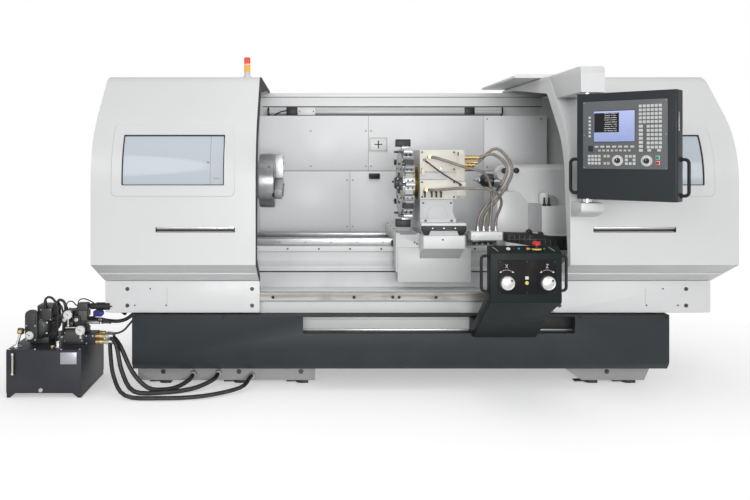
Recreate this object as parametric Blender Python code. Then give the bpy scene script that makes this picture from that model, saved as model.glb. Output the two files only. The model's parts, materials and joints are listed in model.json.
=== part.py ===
# Flat-bed turning machine with two sliding hoods, tool turret and hydraulic unit.
# Metres, +Z up, +X along the spindle towards the tailstock, front of the machine towards -Y.
# Sizes are laid out from the left end (x), the front face of the hoods (y) and the floor (z).
import bpy
import bmesh
import math
from mathutils import Vector, Matrix

for old in list(bpy.data.objects):
    bpy.data.objects.remove(old, do_unlink=True)

# Running and seating clearance
GAP = 0.0003

# Hoods
LEFT_HOOD_LEN = 0.9115
OPENING = 1.7275
RIGHT_HOOD_LEN = 0.926
HOOD_TOP = 1.852
HOOD_DEPTH = 1.470
HOOD_BOTTOM = 0.775
SHOULDER_Z = 1.235
SHOULDER_R = 0.540
SHOULDER_TURN = 43.0
ROOF_R = 0.160
GUSSET_BACK = 0.300
GUSSET_DROP = 0.135
SKIN = 0.020
RIM = 0.100
APRON_T = 0.015
APRON_BOTTOM = 0.454

# Windows and pulls, measured from each hood's outer end
WIN_FROM_END = 0.170
WIN_LEN = 0.564
WIN_BOTTOM = 1.213
WIN_TOP = 1.492
WIN_FRAME = 0.050
WIN_FRAME_T = 0.004
GLASS_T = 0.008
GLASS_SINK = 0.006
PULL_FROM_EDGE = 0.1175
PULL_LEN = 0.437
PULL_Z = 0.954
PULL_H = 0.030
PULL_DEEP = 0.012
PULL_T = 0.0075

# Base
TRAY_INSET_L = 0.165
TRAY_INSET_R = 0.254
TRAY_Y0 = 0.270
TRAY_DEPTH = 1.170
TRAY_BOTTOM = 0.120
TRAY_TOP = 0.445
TRAY_CHAMFER = 0.045
FOOT_Y_INSET = 0.130
FOOT_DEPTH = 0.800
FOOT_LIFT = 0.024
FOOT_L_LEN = 1.066
FOOT_R_LEN = 0.555
FOOT_R_TAPER = 0.138
PAD_R = 0.038
PAD_T = 0.012
STEM_R = 0.018
SLOT_FROM_L = 1.001
SLOT_LEN = 1.592
SLOT_BOTTOM = 0.336
SLOT_H = 0.098
SLOT_DEEP = 0.065
PANEL_TOP = 0.575
PANEL_BACK = 0.470
RAIL_T = 0.0214
RAIL_BOTTOM = 0.516
RAIL_H = 0.056

# Bed and spindle
AXIS_Y = 0.750
AXIS_Z = 1.216
BED_Y0 = 0.520
BED_W = 0.460
BED_TOP = 0.816
BED_X0 = 0.120
BED_END_INSET = 0.125
WAY_W = 0.090
WAY_DEEP = 0.060
WAY_RISE = 0.046
WAY_TRACK_F = 0.060
WAY_TRACK_R = 0.075
WAY_FIT = 0.0005
HEAD_X0 = 0.180
HEAD_CLEAR = 0.030
HEAD_H = 0.664
NOSE_R = 0.120
CHUCK_R = 0.175
CHUCK_T = 0.100
CHUCK_BORE_R = 0.045
CHUCK_BACK = 0.034
CHUCK_GROOVE_AT = 0.034
CHUCK_GROOVE_W = 0.006
CHUCK_GROOVE_D = 0.004
JAW_LEN = 0.104
JAW_W = 0.044
JAW_OUT = 0.046

# End housings and rear
HOUSING_GAP = 0.030
WALL = 0.015
HOUSING_L_X1 = 0.850
HOUSING_R_INSET = 0.261
HOUSING_BACK = 1.3697
REAR_Y = 1.370
REAR_T = 0.090
WALL_Y = 1.250
WALL_TOP = 1.660
LAMP_DEPTH = 0.080
LAMP_H = 0.068
REAR_DOORS = 4
REAR_DOOR_T = 0.003
REAR_DOOR_GAP = 0.008
REAR_DOOR_IN = 0.045
LOUVRES = 7
LOUVRE_LEN = 0.240
LOUVRE_H = 0.008
LOUVRE_PITCH = 0.024
LATCH_W = 0.024
LATCH_H = 0.070
CHUTE_DROP = 0.150
CHUTE_LIP = 0.015
CHUTE_END_L = 0.010
CHUTE_END_R = 0.020

# Turret and slides
TURRET_Y = 0.400
TURRET_Z = 1.2116
DISC_X = 1.745
DISC_T = 0.060
DISC_R = 0.178
STATIONS = 12
TOOL_REACH = 0.262
SADDLE_X = 1.720
SADDLE_LEN = 0.422
SADDLE_TOP = 0.915
SADDLE_FRONT = 0.360
SADDLE_BACK = 1.000
APRON_LOW = 0.680
NOSE_FRONT = 0.200
SLIDE_FRONT = 0.210
SLIDE_LEN = 0.570
SLIDE_W = 0.260
SLIDE_T = 0.070
STAND_H = 0.135
STAND_FRONT = 0.250
STAND_LEN = 0.350
STAND_W = 0.210
HEAD_BOX_H = 0.289
HEAD_BOX_D = 0.370
HEAD_BAND_UP = 0.117
HEAD_BAND_H = 0.041
HEAD_BAND_DEEP = 0.012
HEAD_BAND_IN = 0.022
LUG_OUT = 0.058
LUG_UP = 0.019
LUG_H = 0.084
LUG_D = 0.094
EAR_OUT = 0.044
EAR_H = 0.040
PORT_BOX_OUT = 0.120
PORT_BOX_IN = 0.090
PORT_BOX_D = 0.210
HUB_R = 0.085

# Tailstock
TAIL_X = 2.440
TAIL_LEN = 0.440
QUILL_R = 0.0515
QUILL_OUT = 0.178
CENTRE_R = 0.022
GUARD_OUT = 0.020
GUARD_LEN = 0.185
GUARD_H = 0.342
GUARD_CHAMFER = 0.040
GUARD_D = 0.128
CLAMP_BOX_AT = 0.170
CLAMP_BOX_LEN = 0.085
CLAMP_BOX_H = 0.270
DRIVE_BOX_LEN = 0.162
DRIVE_BOX_H = 0.260
KNOB_R = 0.0175
KNOB_OUT = 0.081
KNOB_UP = 0.060

# Pendant
ARM_W = 0.106
ARM_H = 0.140
ARM_REACH = 0.160
PEND_IN = 0.051
PEND_FRONT = 0.100
PEND_W = 0.500
PEND_H = 0.554
PEND_D = 0.120
PEND_TURN = -41.3
BOSS_R = 0.030
BOSS_H = 0.010
PIVOT_U = 0.0203
PIVOT_V = 0.0845
CASE_BEVEL = 0.006
BRACKET_W = 0.100
BRACKET_H = 0.086
COVER_LEN = 0.880
COVER_BACK_IN = 0.030
COVER_OUT = 0.159
COVER_T = 0.030
PLATE_IN_L = 0.036
PLATE_IN_R = 0.044
PLATE_IN_TOP = 0.044
PLATE_UP = 0.160
PLATE_T = 0.004

# Console
CON_X = 2.133
CON_W = 0.398
CON_FRONT = -0.200
CON_DEPTH = 0.170
CON_BOTTOM = 0.647
CON_TOP = 0.925
CON_FACE_TOP = 0.895
CON_SLOPE = 0.060
TONGUE_H = 0.094
TONGUE_DEEP = 0.040
WHEEL_R = 0.037
WHEEL_T = 0.036
WHEEL_Z = 0.713
WHEEL_SPAN = 0.212

# Hydraulic unit
TANK_X0 = -0.520
TANK_W = 0.428
TANK_Y0 = 0.140
TANK_D = 0.480
TANK_TOP = 0.272
TANK_FOOT = 0.026
MOTOR_R = 0.078
MOTOR_LEN = 0.240
CHIP_GUARD_LOW = 0.026    # sloping guard between bed and rear wall
CHIP_GUARD_STEP = 0.004
CHIP_GUARD_HIGH = 0.020
CHIP_GUARD_END = 0.020
VALVE_IN = 0.070          # valve plate: its place on the tank's top
VALVE_BACK = 0.190
VALVE_BASE_H = 0.085
VALVE_BASE_L = 0.080
VALVE_BASE_R = 0.048
VALVE_BASE_F = 0.055
VALVE_BASE_B = 0.075
VALVE_W = 0.052
VALVE_H = 0.115
VALVE_PITCH = 0.068
COIL_R = 0.021
COIL_REACH = 0.110
GAUGE_R = 0.030
GAUGE_UP = 0.215

# Places that follow from the sizes
X_OPEN0 = LEFT_HOOD_LEN
X_OPEN1 = LEFT_HOOD_LEN + OPENING
X_END = X_OPEN1 + RIGHT_HOOD_LEN
BED_Y1 = BED_Y0 + BED_W
TRAY_X0 = TRAY_INSET_L
TRAY_X1 = X_END - TRAY_INSET_R
TRAY_Y1 = TRAY_Y0 + TRAY_DEPTH
SLOT_X0 = TRAY_X0 + SLOT_FROM_L
SLOT_X1 = SLOT_X0 + SLOT_LEN
SLOT_TOP = SLOT_BOTTOM + SLOT_H
APRON_FRONT = GUSSET_BACK - 0.010
APRON_BACK = APRON_FRONT + APRON_T
RAIL_FRONT = APRON_BACK + GAP
PANEL_FRONT = RAIL_FRONT + RAIL_T + GAP
BASE_TOP = TRAY_TOP + GAP
ROOF_UNDER = HOOD_TOP - SKIN - 0.0005
CHUCK_X0 = HOUSING_L_X1 + CHUCK_BACK
CHUCK_X1 = CHUCK_X0 + CHUCK_T
DISC_X1 = DISC_X + DISC_T
SADDLE_X1 = SADDLE_X + SADDLE_LEN
SLIDE_X0 = SADDLE_X1 - 0.032 - SLIDE_W
SLIDE_X1 = SLIDE_X0 + SLIDE_W
SLIDE_BOTTOM = SADDLE_TOP + GAP
SLIDE_TOP = SLIDE_BOTTOM + SLIDE_T
STAND_TOP = SLIDE_TOP + GAP + STAND_H
HEAD_FRONT = STAND_FRONT
HOUSING_R_X0 = X_OPEN1 + HOUSING_R_INSET
PEND_X = X_OPEN1 + PEND_IN
PEND_Y = -PEND_FRONT
ARM_BOTTOM = HOOD_TOP - ARM_H
PEND_TOP = ARM_BOTTOM - BOSS_H
PEND_Z0 = PEND_TOP - PEND_H
BRACKET_TOP = PEND_Z0 - BOSS_H * 2.2
CON_X1 = CON_X + CON_W
CON_BACK = CON_FRONT + CON_DEPTH
TANK_X1 = TANK_X0 + TANK_W
TANK_Y1 = TANK_Y0 + TANK_D


def turn2(u, v, degrees):
    c = math.cos(math.radians(degrees))
    s = math.sin(math.radians(degrees))
    return (u * c - v * s, u * s + v * c)


# The pendant's far corner is the foremost place of the whole machine.
CORNER_U = PEND_W - PIVOT_U
CORNERS = [turn2(CORNER_U - CASE_BEVEL, -PIVOT_V, PEND_TURN),
           turn2(CORNER_U, CASE_BEVEL - PIVOT_V, PEND_TURN)]
FOREMOST = PEND_Y + min(c[1] for c in CORNERS)
MID_X = (TANK_X0 + X_END) / 2
MID_Y = (FOREMOST + HOOD_DEPTH) / 2


def P(x, y, z):
    return Vector((x - MID_X, y - MID_Y, z))


def material(name, rgb, rough=0.5, metal=0.0):
    m = bpy.data.materials.get(name)
    if m:
        return m
    m = bpy.data.materials.new(name)
    m.use_nodes = True
    b = m.node_tree.nodes["Principled BSDF"]
    b.inputs["Base Color"].default_value = (rgb[0], rgb[1], rgb[2], 1.0)
    b.inputs["Roughness"].default_value = rough
    b.inputs["Metallic"].default_value = metal
    m.diffuse_color = (rgb[0], rgb[1], rgb[2], 1.0)
    return m


def finish(bm, name, mat, origin=None):
    bmesh.ops.remove_doubles(bm, verts=bm.verts, dist=1e-6)
    bmesh.ops.recalc_face_normals(bm, faces=bm.faces)
    me = bpy.data.meshes.new(name)
    bm.to_mesh(me)
    bm.free()
    ob = bpy.data.objects.new(name, me)
    bpy.context.scene.collection.objects.link(ob)
    if mat is not None:
        me.materials.append(mat)
    if origin is not None:
        set_origin(ob, origin)
    return ob


def set_origin(ob, origin):
    o = P(*origin)
    ob.data.transform(Matrix.Translation(ob.matrix_world.translation - o))
    ob.matrix_world = Matrix.Translation(o)


def prism(name, axis, pts, a0, a1, mat=None, origin=None):
    # The outline lies across the axis: 'x' takes (y, z), 'y' takes (x, z), 'z' takes (x, y).
    bm = bmesh.new()

    def at(p, a):
        if axis == "x":
            return P(a, p[0], p[1])
        if axis == "y":
            return P(p[0], a, p[1])
        return P(p[0], p[1], a)

    lo = [bm.verts.new(at(p, a0)) for p in pts]
    hi = [bm.verts.new(at(p, a1)) for p in pts]
    n = len(pts)
    bm.faces.new(lo)
    bm.faces.new(hi)
    for i in range(n):
        j = (i + 1) % n
        bm.faces.new((lo[i], lo[j], hi[j], hi[i]))
    return finish(bm, name, mat, origin)


def box(name, x0, x1, y0, y1, z0, z1, mat=None, origin=None):
    return prism(name, "z", [(x0, y0), (x1, y0), (x1, y1), (x0, y1)], z0, z1, mat, origin)


def rounded(u0, u1, v0, v1, r, steps=3):
    # Outline of a rectangle with round corners.
    pts = []
    for cu, cv, a in ((u1 - r, v0 + r, -90), (u1 - r, v1 - r, 0), (u0 + r, v1 - r, 90),
                      (u0 + r, v0 + r, 180)):
        for k in range(steps + 1):
            t = math.radians(a + 90 * k / steps)
            pts.append((cu + r * math.cos(t), cv + r * math.sin(t)))
    return pts


def turned(name, axis, centre, profile, mat=None, segs=24, origin=None, phase=0.0):
    # The profile is a list of (along, radius); the body is closed at both ends.
    bm = bmesh.new()
    rings = []
    for a, r in profile:
        pts = [(0.0, 0.0)]
        if r > 1e-6:
            pts = [(r * math.cos(phase + 2 * math.pi * k / segs),
                    r * math.sin(phase + 2 * math.pi * k / segs)) for k in range(segs)]
        ring = []
        for u, v in pts:
            if axis == "x":
                q = P(a, centre[0] + u, centre[1] + v)
            elif axis == "y":
                q = P(centre[0] + u, a, centre[1] + v)
            else:
                q = P(centre[0] + u, centre[1] + v, a)
            ring.append(bm.verts.new(q))
        rings.append(ring)
    for r0, r1 in zip(rings, rings[1:]):
        for k in range(segs):
            j = (k + 1) % segs
            if len(r0) == 1:
                bm.faces.new((r0[0], r1[j], r1[k]))
            elif len(r1) == 1:
                bm.faces.new((r0[k], r0[j], r1[0]))
            else:
                bm.faces.new((r0[k], r0[j], r1[j], r1[k]))
    for ring in (rings[0], rings[-1]):
        if len(ring) > 1:
            bm.faces.new(ring)
    return finish(bm, name, mat, origin)


def combine(base, tools, how):
    for tool in tools:
        mod = base.modifiers.new("join", "BOOLEAN")
        mod.operation = how
        mod.solver = "EXACT"
        mod.object = tool
    dg = bpy.context.evaluated_depsgraph_get()
    me = bpy.data.meshes.new_from_object(base.evaluated_get(dg), depsgraph=dg)
    base.modifiers.clear()
    mats = list(base.data.materials)
    base.data = me
    me.materials.clear()
    for m in mats:
        me.materials.append(m)
    for p in me.polygons:
        p.material_index = 0
    for tool in tools:
        bpy.data.objects.remove(tool, do_unlink=True)
    bm = bmesh.new()
    bm.from_mesh(me)
    bmesh.ops.remove_doubles(bm, verts=bm.verts, dist=2e-6)
    bmesh.ops.dissolve_limit(bm, angle_limit=0.002, verts=bm.verts, edges=bm.edges)
    bm.to_mesh(me)
    bm.free()
    return base


def cut(base, *tools):
    return combine(base, tools, "DIFFERENCE")


def add(base, *tools):
    return combine(base, tools, "UNION")


def offset_path(path, dist):
    # Each point moves to the right-hand side of the travel by its own distance.
    out = []
    n = len(path)
    for i in range(n):
        d = dist[i] if isinstance(dist, list) else dist
        p = Vector(path[i])
        ends = []
        if i > 0:
            t = (p - Vector(path[i - 1])).normalized()
            ends.append(Vector((t.y, -t.x)))
        if i < n - 1:
            t = (Vector(path[i + 1]) - p).normalized()
            ends.append(Vector((t.y, -t.x)))
        m = (ends[0] + ends[-1]).normalized()
        out.append(tuple(p + m * (d / max(0.3, m.dot(ends[0])))))
    return out


def hood_curve():
    # Lower gusset, upright front, large shoulder arc, straight slope, small arc and flat roof.
    a = math.radians(SHOULDER_TURN)
    pts = [(GUSSET_BACK, HOOD_BOTTOM - GUSSET_DROP), (0.0, HOOD_BOTTOM), (0.0, SHOULDER_Z)]
    steps = 8
    for k in range(1, steps + 1):
        t = a * k / steps
        pts.append((SHOULDER_R * (1 - math.cos(t)), SHOULDER_Z + SHOULDER_R * math.sin(t)))
    top = HOOD_TOP - ROOF_R * (1 - math.sin(a))
    run = (top - pts[-1][1]) / math.cos(a)
    y0 = pts[-1][0] + run * math.sin(a)
    steps = 5
    for k in range(steps + 1):
        t = a + (math.pi / 2 - a) * k / steps
        pts.append((y0 + ROOF_R * (math.cos(a) - math.cos(t)), top + ROOF_R * (math.sin(t) - math.sin(a))))
    pts.append((WALL_Y - 0.100, HOOD_TOP))
    pts.append((REAR_Y - 0.030, HOOD_TOP))
    pts.append((HOOD_DEPTH, HOOD_TOP))
    return pts


HOOD_PATH = hood_curve()


def y_at(path, z):
    # Depth of the front part of a path at a height.
    for a, b in zip(path[1:], path[2:]):
        if min(a[1], b[1]) - 1e-9 <= z <= max(a[1], b[1]) + 1e-9 and abs(a[1] - b[1]) > 1e-9:
            f = (z - a[1]) / (b[1] - a[1])
            return a[0] + f * (b[0] - a[0])
    return path[-1][0]


def hood_shell(name, x0, x1, rim_at_high, origin):
    # A bent sheet with a deep inward flange along its meeting edge.
    n = len(HOOD_PATH)
    rim = [SKIN * 1.5, SKIN * 2.5] + [RIM] * (n - 4) + [SKIN + 0.0005] * 2
    inner = offset_path(HOOD_PATH, SKIN)
    deep = offset_path(HOOD_PATH, rim)
    if rim_at_high:
        xa, xs, xb = x0, x1 - SKIN, x1
    else:
        xa, xs, xb = x1, x0 + SKIN, x0
    bm = bmesh.new()

    def row(path, x):
        return [bm.verts.new(P(x, p[0], p[1])) for p in path]

    pa, pb = row(HOOD_PATH, xa), row(HOOD_PATH, xb)
    qa, qs = row(inner, xa), row(inner, xs)
    rs, rb = row(deep, xs), row(deep, xb)
    for i in range(n - 1):
        for u, v in ((pa, pb), (qa, qs), (qs, rs), (rs, rb), (pa, qa), (pb, rb)):
            bm.faces.new((u[i], u[i + 1], v[i + 1], v[i]))
    for i in (0, n - 1):
        bm.faces.new((pa[i], pb[i], rb[i], rs[i], qs[i], qa[i]))
    return finish(bm, name, white, origin)


def skin_band(name, x0, x1, z0, z1, out, deep, mat=None, origin=None, steps=6):
    # A strip that follows the hood's front between two heights.
    a = offset_path(HOOD_PATH, -out)
    b = offset_path(HOOD_PATH, deep)
    zs = [z0 + (z1 - z0) * k / steps for k in range(steps + 1)]
    pts = [(y_at(a, z), z) for z in zs] + [(y_at(b, z), z) for z in reversed(zs)]
    return prism(name, "x", pts, x0, x1, mat, origin)


def hood(side, x0, x1, win_x0, pull_x0, rim_at_high, origin):
    body = hood_shell(side + "_door", x0, x1, rim_at_high, origin)
    win_x1 = win_x0 + WIN_LEN
    add(body, skin_band("frame", win_x0 - WIN_FRAME, win_x1 + WIN_FRAME, WIN_BOTTOM - WIN_FRAME,
                        WIN_TOP + WIN_FRAME, WIN_FRAME_T, SKIN / 2))
    cut(body,
        box("opening", win_x0, win_x1, -RIM, 2 * RIM, WIN_BOTTOM, WIN_TOP),
        box("grip", pull_x0, pull_x0 + PULL_LEN, -RIM, PULL_DEEP, PULL_Z, PULL_Z + PULL_H))
    skin_band(side + "_window", win_x0 + GAP, win_x1 - GAP, WIN_BOTTOM + GAP, WIN_TOP - GAP,
              -GLASS_SINK, GLASS_SINK + GLASS_T, glass, origin)
    box(side + "_pull", pull_x0 + GAP, pull_x0 + PULL_LEN - GAP, PULL_DEEP - GAP - PULL_T, PULL_DEEP - GAP,
        PULL_Z + GAP, PULL_Z + PULL_H - GAP, stainless, origin)
    box(side + "_apron", x0 + (0.0 if not rim_at_high else 0.004), x1 - (0.0 if rim_at_high else 0.004),
        APRON_FRONT, APRON_BACK, APRON_BOTTOM, HOOD_BOTTOM - GUSSET_DROP - GAP, white, origin)
    return body


def tube(name, pts, radius, mat, res=2):
    cu = bpy.data.curves.new(name, "CURVE")
    cu.dimensions = "3D"
    cu.bevel_depth = radius
    cu.bevel_resolution = res
    cu.use_fill_caps = True
    sp = cu.splines.new("POLY")
    sp.points.add(len(pts) - 1)
    for i, p in enumerate(pts):
        q = P(*p)
        sp.points[i].co = (q.x, q.y, q.z, 1.0)
    cu.materials.append(mat)
    ob = bpy.data.objects.new(name, cu)
    bpy.context.scene.collection.objects.link(ob)
    return ob


def smooth(keys, per=4):
    # Rounded run through the given places.
    pts = [Vector(k) for k in keys]
    ext = [pts[0] * 2 - pts[1]] + pts + [pts[-1] * 2 - pts[-2]]
    out = []
    for i in range(1, len(ext) - 2):
        p0, p1, p2, p3 = ext[i - 1], ext[i], ext[i + 1], ext[i + 2]
        for k in range(per):
            t = k / per
            a = p1 * 2
            b = (p2 - p0) * t
            c = (p0 * 2 - p1 * 5 + p2 * 4 - p3) * (t * t)
            d = (p1 * 3 - p0 - p2 * 3 + p3) * (t * t * t)
            out.append(tuple((a + b + c + d) * 0.5))
    out.append(tuple(pts[-1]))
    return out


def hose(name, first, keys, last, radius, mat):
    return tube(name, [first] + smooth(keys) + [last], radius, mat)


def grip(name, x, side, y, z0, z1, reach, r):
    pts = [(x, y, z0), (x + side * reach * 0.7, y, z0), (x + side * reach, y, z0 + reach * 0.4),
           (x + side * reach, y, z1 - reach * 0.4), (x + side * reach * 0.7, y, z1), (x, y, z1)]
    return tube(name, pts, r, rubber)


white = material("white_paint", (0.78, 0.79, 0.80), 0.35)
slate = material("slate_paint", (0.075, 0.090, 0.100), 0.4)
casting = material("grey_casting", (0.62, 0.63, 0.64), 0.5)
cream = material("cream_paint", (0.80, 0.78, 0.70), 0.4)
steel = material("machined_steel", (0.55, 0.56, 0.57), 0.25, 1.0)
dark = material("dark_steel", (0.12, 0.12, 0.13), 0.35, 1.0)
stainless = material("stainless_sheet", (0.6, 0.6, 0.6), 0.25, 1.0)
black = material("black_plastic", (0.02, 0.02, 0.022), 0.45)
rubber = material("black_rubber", (0.015, 0.015, 0.015), 0.7)
glass = material("window_glass", (0.72, 0.79, 0.82), 0.1)
face = material("panel_face", (0.16, 0.17, 0.18), 0.4)
red = material("red_plastic", (0.75, 0.04, 0.03), 0.35)
amber = material("lamp_lens", (0.85, 0.35, 0.03), 0.2)
braid = material("steel_braid", (0.45, 0.40, 0.36), 0.4, 0.8)
aluminium = material("aluminium_knob", (0.75, 0.75, 0.74), 0.3, 1.0)
tank_paint = material("tank_paint", (0.07, 0.075, 0.09), 0.4)
brass = material("brass_block", (0.6, 0.45, 0.2), 0.3, 1.0)

# Feet and base


def pads(xs, ys):
    return [turned("pad", "z", (x, y), [(0.0, PAD_R), (PAD_T, PAD_R), (PAD_T, STEM_R),
                                        (FOOT_LIFT + 0.020, STEM_R)], None, 12) for x in xs for y in ys]


FOOT_Y0 = TRAY_Y0 + FOOT_Y_INSET
FOOT_Y1 = FOOT_Y0 + FOOT_DEPTH
FOOT_TOP = TRAY_BOTTOM - GAP
fx0 = TRAY_X0 + 0.007
foot = box("left_foot", fx0, fx0 + FOOT_L_LEN, FOOT_Y0, FOOT_Y1, FOOT_LIFT, FOOT_TOP, white)
add(foot, *pads([fx0 + FOOT_L_LEN * f for f in (0.148, 0.57, 0.926)], (FOOT_Y0 + 0.06, FOOT_Y1 - 0.06)))
fx1 = TRAY_X1 - 0.049
foot = prism("right_foot", "y", [(fx1 - FOOT_R_LEN + FOOT_R_TAPER, FOOT_LIFT), (fx1 - 0.042, FOOT_LIFT),
                                 (fx1, FOOT_TOP), (fx1 - FOOT_R_LEN, FOOT_TOP)], FOOT_Y0, FOOT_Y1, white)
add(foot, *pads((fx1 - FOOT_R_LEN + FOOT_R_TAPER + 0.065, fx1 - 0.122), (FOOT_Y0 + 0.06, FOOT_Y1 - 0.06)))

tray = prism("base_tray", "x", [(TRAY_Y0, TRAY_BOTTOM + TRAY_CHAMFER),
                                (TRAY_Y0 + TRAY_CHAMFER * 0.8, TRAY_BOTTOM),
                                (TRAY_Y1, TRAY_BOTTOM), (TRAY_Y1, TRAY_TOP), (TRAY_Y0, TRAY_TOP)],
             TRAY_X0, TRAY_X1, slate)
cut(tray, box("slot", SLOT_X0, SLOT_X1, TRAY_Y0 - 0.1, TRAY_Y0 + SLOT_DEEP, SLOT_BOTTOM, SLOT_TOP))

box("front_panel", 0.020, X_END - 0.020, PANEL_FRONT, PANEL_BACK, BASE_TOP, PANEL_TOP, white)
box("door_rail", 0.060, X_END - 0.060, RAIL_FRONT, RAIL_FRONT + RAIL_T, RAIL_BOTTOM, RAIL_BOTTOM + RAIL_H,
    stainless)
CHUTE_TOP = BED_TOP - CHUTE_DROP
prism("chip_chute", "x", [(PANEL_BACK + GAP, BASE_TOP), (BED_Y0 - GAP, BASE_TOP), (BED_Y0 - GAP, CHUTE_TOP),
                          (BED_Y0 - CHUTE_LIP, CHUTE_TOP), (PANEL_BACK + GAP, PANEL_TOP + 0.007)],
      HOUSING_L_X1 + CHUTE_END_L, HOUSING_R_X0 - CHUTE_END_R, casting)

WAY_Z = BED_TOP - WAY_DEEP
WAY_TOP = BED_TOP + WAY_RISE
WAY_F1 = BED_Y0 + WAY_W
WAY_F0 = WAY_F1 - WAY_TRACK_F
WAY_R0 = BED_Y1 - WAY_W
WAY_R1 = WAY_R0 + WAY_TRACK_R
bed = prism("bed_casting", "x", [(BED_Y0, BASE_TOP), (BED_Y1, BASE_TOP), (BED_Y1, BED_TOP),
                                 (WAY_R1, BED_TOP),
                                 (WAY_R1, WAY_TOP), (WAY_R0, WAY_TOP), (WAY_R0, BED_TOP),
                                 (WAY_R0 - 0.010, WAY_Z), (WAY_F1 + 0.010, WAY_Z),
                                 (WAY_F1, BED_TOP), (WAY_F1, WAY_TOP), (WAY_F0, WAY_TOP), (WAY_F0, BED_TOP),
                                 (BED_Y0 + 0.006, BED_TOP), (BED_Y0, BED_TOP - 0.006),
                                 (BED_Y0, BED_TOP - 0.030), (BED_Y0 + 0.020, BED_TOP - 0.040),
                                 (BED_Y0 + 0.020, CHUTE_TOP + 0.014), (BED_Y0, CHUTE_TOP + 0.004)],
            BED_X0, X_END - BED_END_INSET, casting)


def way_room(x0, x1):
    # Room over the two raised ways for what sits on the bed between x0 and x1
    return [box("room", x0 - 0.1, x1 + 0.1, y0 - WAY_FIT, y1 + WAY_FIT, BED_TOP - 0.020, WAY_TOP + GAP)
            for y0, y1 in ((WAY_F0, WAY_F1), (WAY_R0, WAY_R1))]


# Headstock
HEAD_X1 = HOUSING_L_X1 - HEAD_CLEAR
HEAD_Z1 = BED_TOP + GAP + HEAD_H
HEAD_Y0 = BED_Y0 - 0.020
HEAD_Y1 = BED_Y1 + 0.020
head = prism("headstock", "x", rounded(HEAD_Y0, HEAD_Y1, BED_TOP + GAP, HEAD_Z1, 0.040), HEAD_X0,
             HEAD_X1, casting)
add(head, turned("nose", "x", (AXIS_Y, AXIS_Z), [(HEAD_X1 - 0.10, NOSE_R), (CHUCK_X0 - GAP, NOSE_R)],
                 None, 32))
cut(head, *way_room(HEAD_X0, HEAD_X1))

# Fixed end housings that the hoods run over
inset = offset_path(HOOD_PATH, SKIN + HOUSING_GAP)
hollow = offset_path(HOOD_PATH, SKIN + HOUSING_GAP + WALL)


def housing(name, x0, x1, open_left):
    front = PANEL_FRONT + 0.008
    low = PANEL_TOP + GAP
    outer = [(front, low), (front, inset[0][1] + 0.012)] + inset[1:-1]
    outer += [(HOUSING_BACK, inset[-1][1]), (HOUSING_BACK, low)]
    body = prism(name, "x", outer, x0, x1, white)
    back = HOUSING_BACK - WALL
    inner = [(front + WALL, low - 0.2), (front + WALL, inset[0][1] + 0.022)] + hollow[1:-1]
    inner += [(back, hollow[-1][1]), (back, low - 0.2)]
    a = x0 - 0.05 if open_left else x0 + WALL
    cut(body, prism("hollow", "x", inner, a, x1 - WALL, None))
    return body


left_cover = housing("left_housing", 0.015, HOUSING_L_X1, False)
cut(left_cover,
    turned("hole", "x", (AXIS_Y, AXIS_Z),
           [(HOUSING_L_X1 - 0.05, NOSE_R + 0.005), (HOUSING_L_X1 + 0.05, NOSE_R + 0.005)],
           None, 32),
    box("bed_gap", HOUSING_L_X1 - 0.05, HOUSING_L_X1 + 0.05, BED_Y0 - 0.001, BED_Y1 + 0.001,
        PANEL_TOP - 0.1,
        WAY_TOP + 0.001))
housing("right_housing", HOUSING_R_X0, X_END - 0.015, True)

# Rear
wx0 = HOUSING_L_X1 + GAP
wx1 = HOUSING_R_X0 - GAP
box("rear_wall", wx0, wx1, WALL_Y, HOUSING_BACK, BED_TOP + 0.004, WALL_TOP, white)
prism("rear_guard", "x", [(BED_Y1 + GAP, BED_TOP - CHIP_GUARD_LOW), (WALL_Y - GAP, BED_TOP - CHIP_GUARD_STEP),
                          (WALL_Y - GAP, BED_TOP + CHIP_GUARD_HIGH), (BED_Y1 + GAP, BED_TOP - CHIP_GUARD_STEP)],
      wx0 + CHIP_GUARD_END, wx1 - CHIP_GUARD_END, stainless)
cabinet = box("rear_cabinet", 0.020, X_END - 0.020, REAR_Y, REAR_Y + REAR_T, BASE_TOP, ROOF_UNDER - GAP,
              white)
# Doors stand a little proud of the cabinet's back, with louvres high up in the end ones
rear_face = REAR_Y + REAR_T
door_w = (X_END - 0.040 - 2 * REAR_DOOR_IN) / REAR_DOORS
door_z0 = BASE_TOP + REAR_DOOR_IN
door_z1 = ROOF_UNDER - GAP - REAR_DOOR_IN
door_leaves = []
louvres = []
for k in range(REAR_DOORS):
    x0 = 0.020 + REAR_DOOR_IN + door_w * k + REAR_DOOR_GAP / 2
    x1 = x0 + door_w - REAR_DOOR_GAP
    door_leaves.append(box("leaf", x0, x1, rear_face - 0.002, rear_face + REAR_DOOR_T, door_z0, door_z1))
    latch_x = x0 + 0.040 if k % 2 else x1 - 0.040
    latch_z = (door_z0 + door_z1) / 2
    door_leaves.append(box("latch", latch_x - LATCH_W / 2, latch_x + LATCH_W / 2, rear_face,
                           rear_face + REAR_DOOR_T + 0.005,
                           latch_z - LATCH_H / 2, latch_z + LATCH_H / 2))
    if k in (0, REAR_DOORS - 1):
        mid = (x0 + x1) / 2
        for n in range(LOUVRES):
            z = door_z1 - 0.120 - LOUVRE_PITCH * n
            louvres.append(box("slot", mid - LOUVRE_LEN / 2, mid + LOUVRE_LEN / 2, rear_face - 0.012,
                               rear_face + 0.02,
                               z - LOUVRE_H, z))
add(cabinet, *door_leaves)
cut(cabinet, *louvres)
LAMP_Z0 = WALL_TOP + GAP
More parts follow.
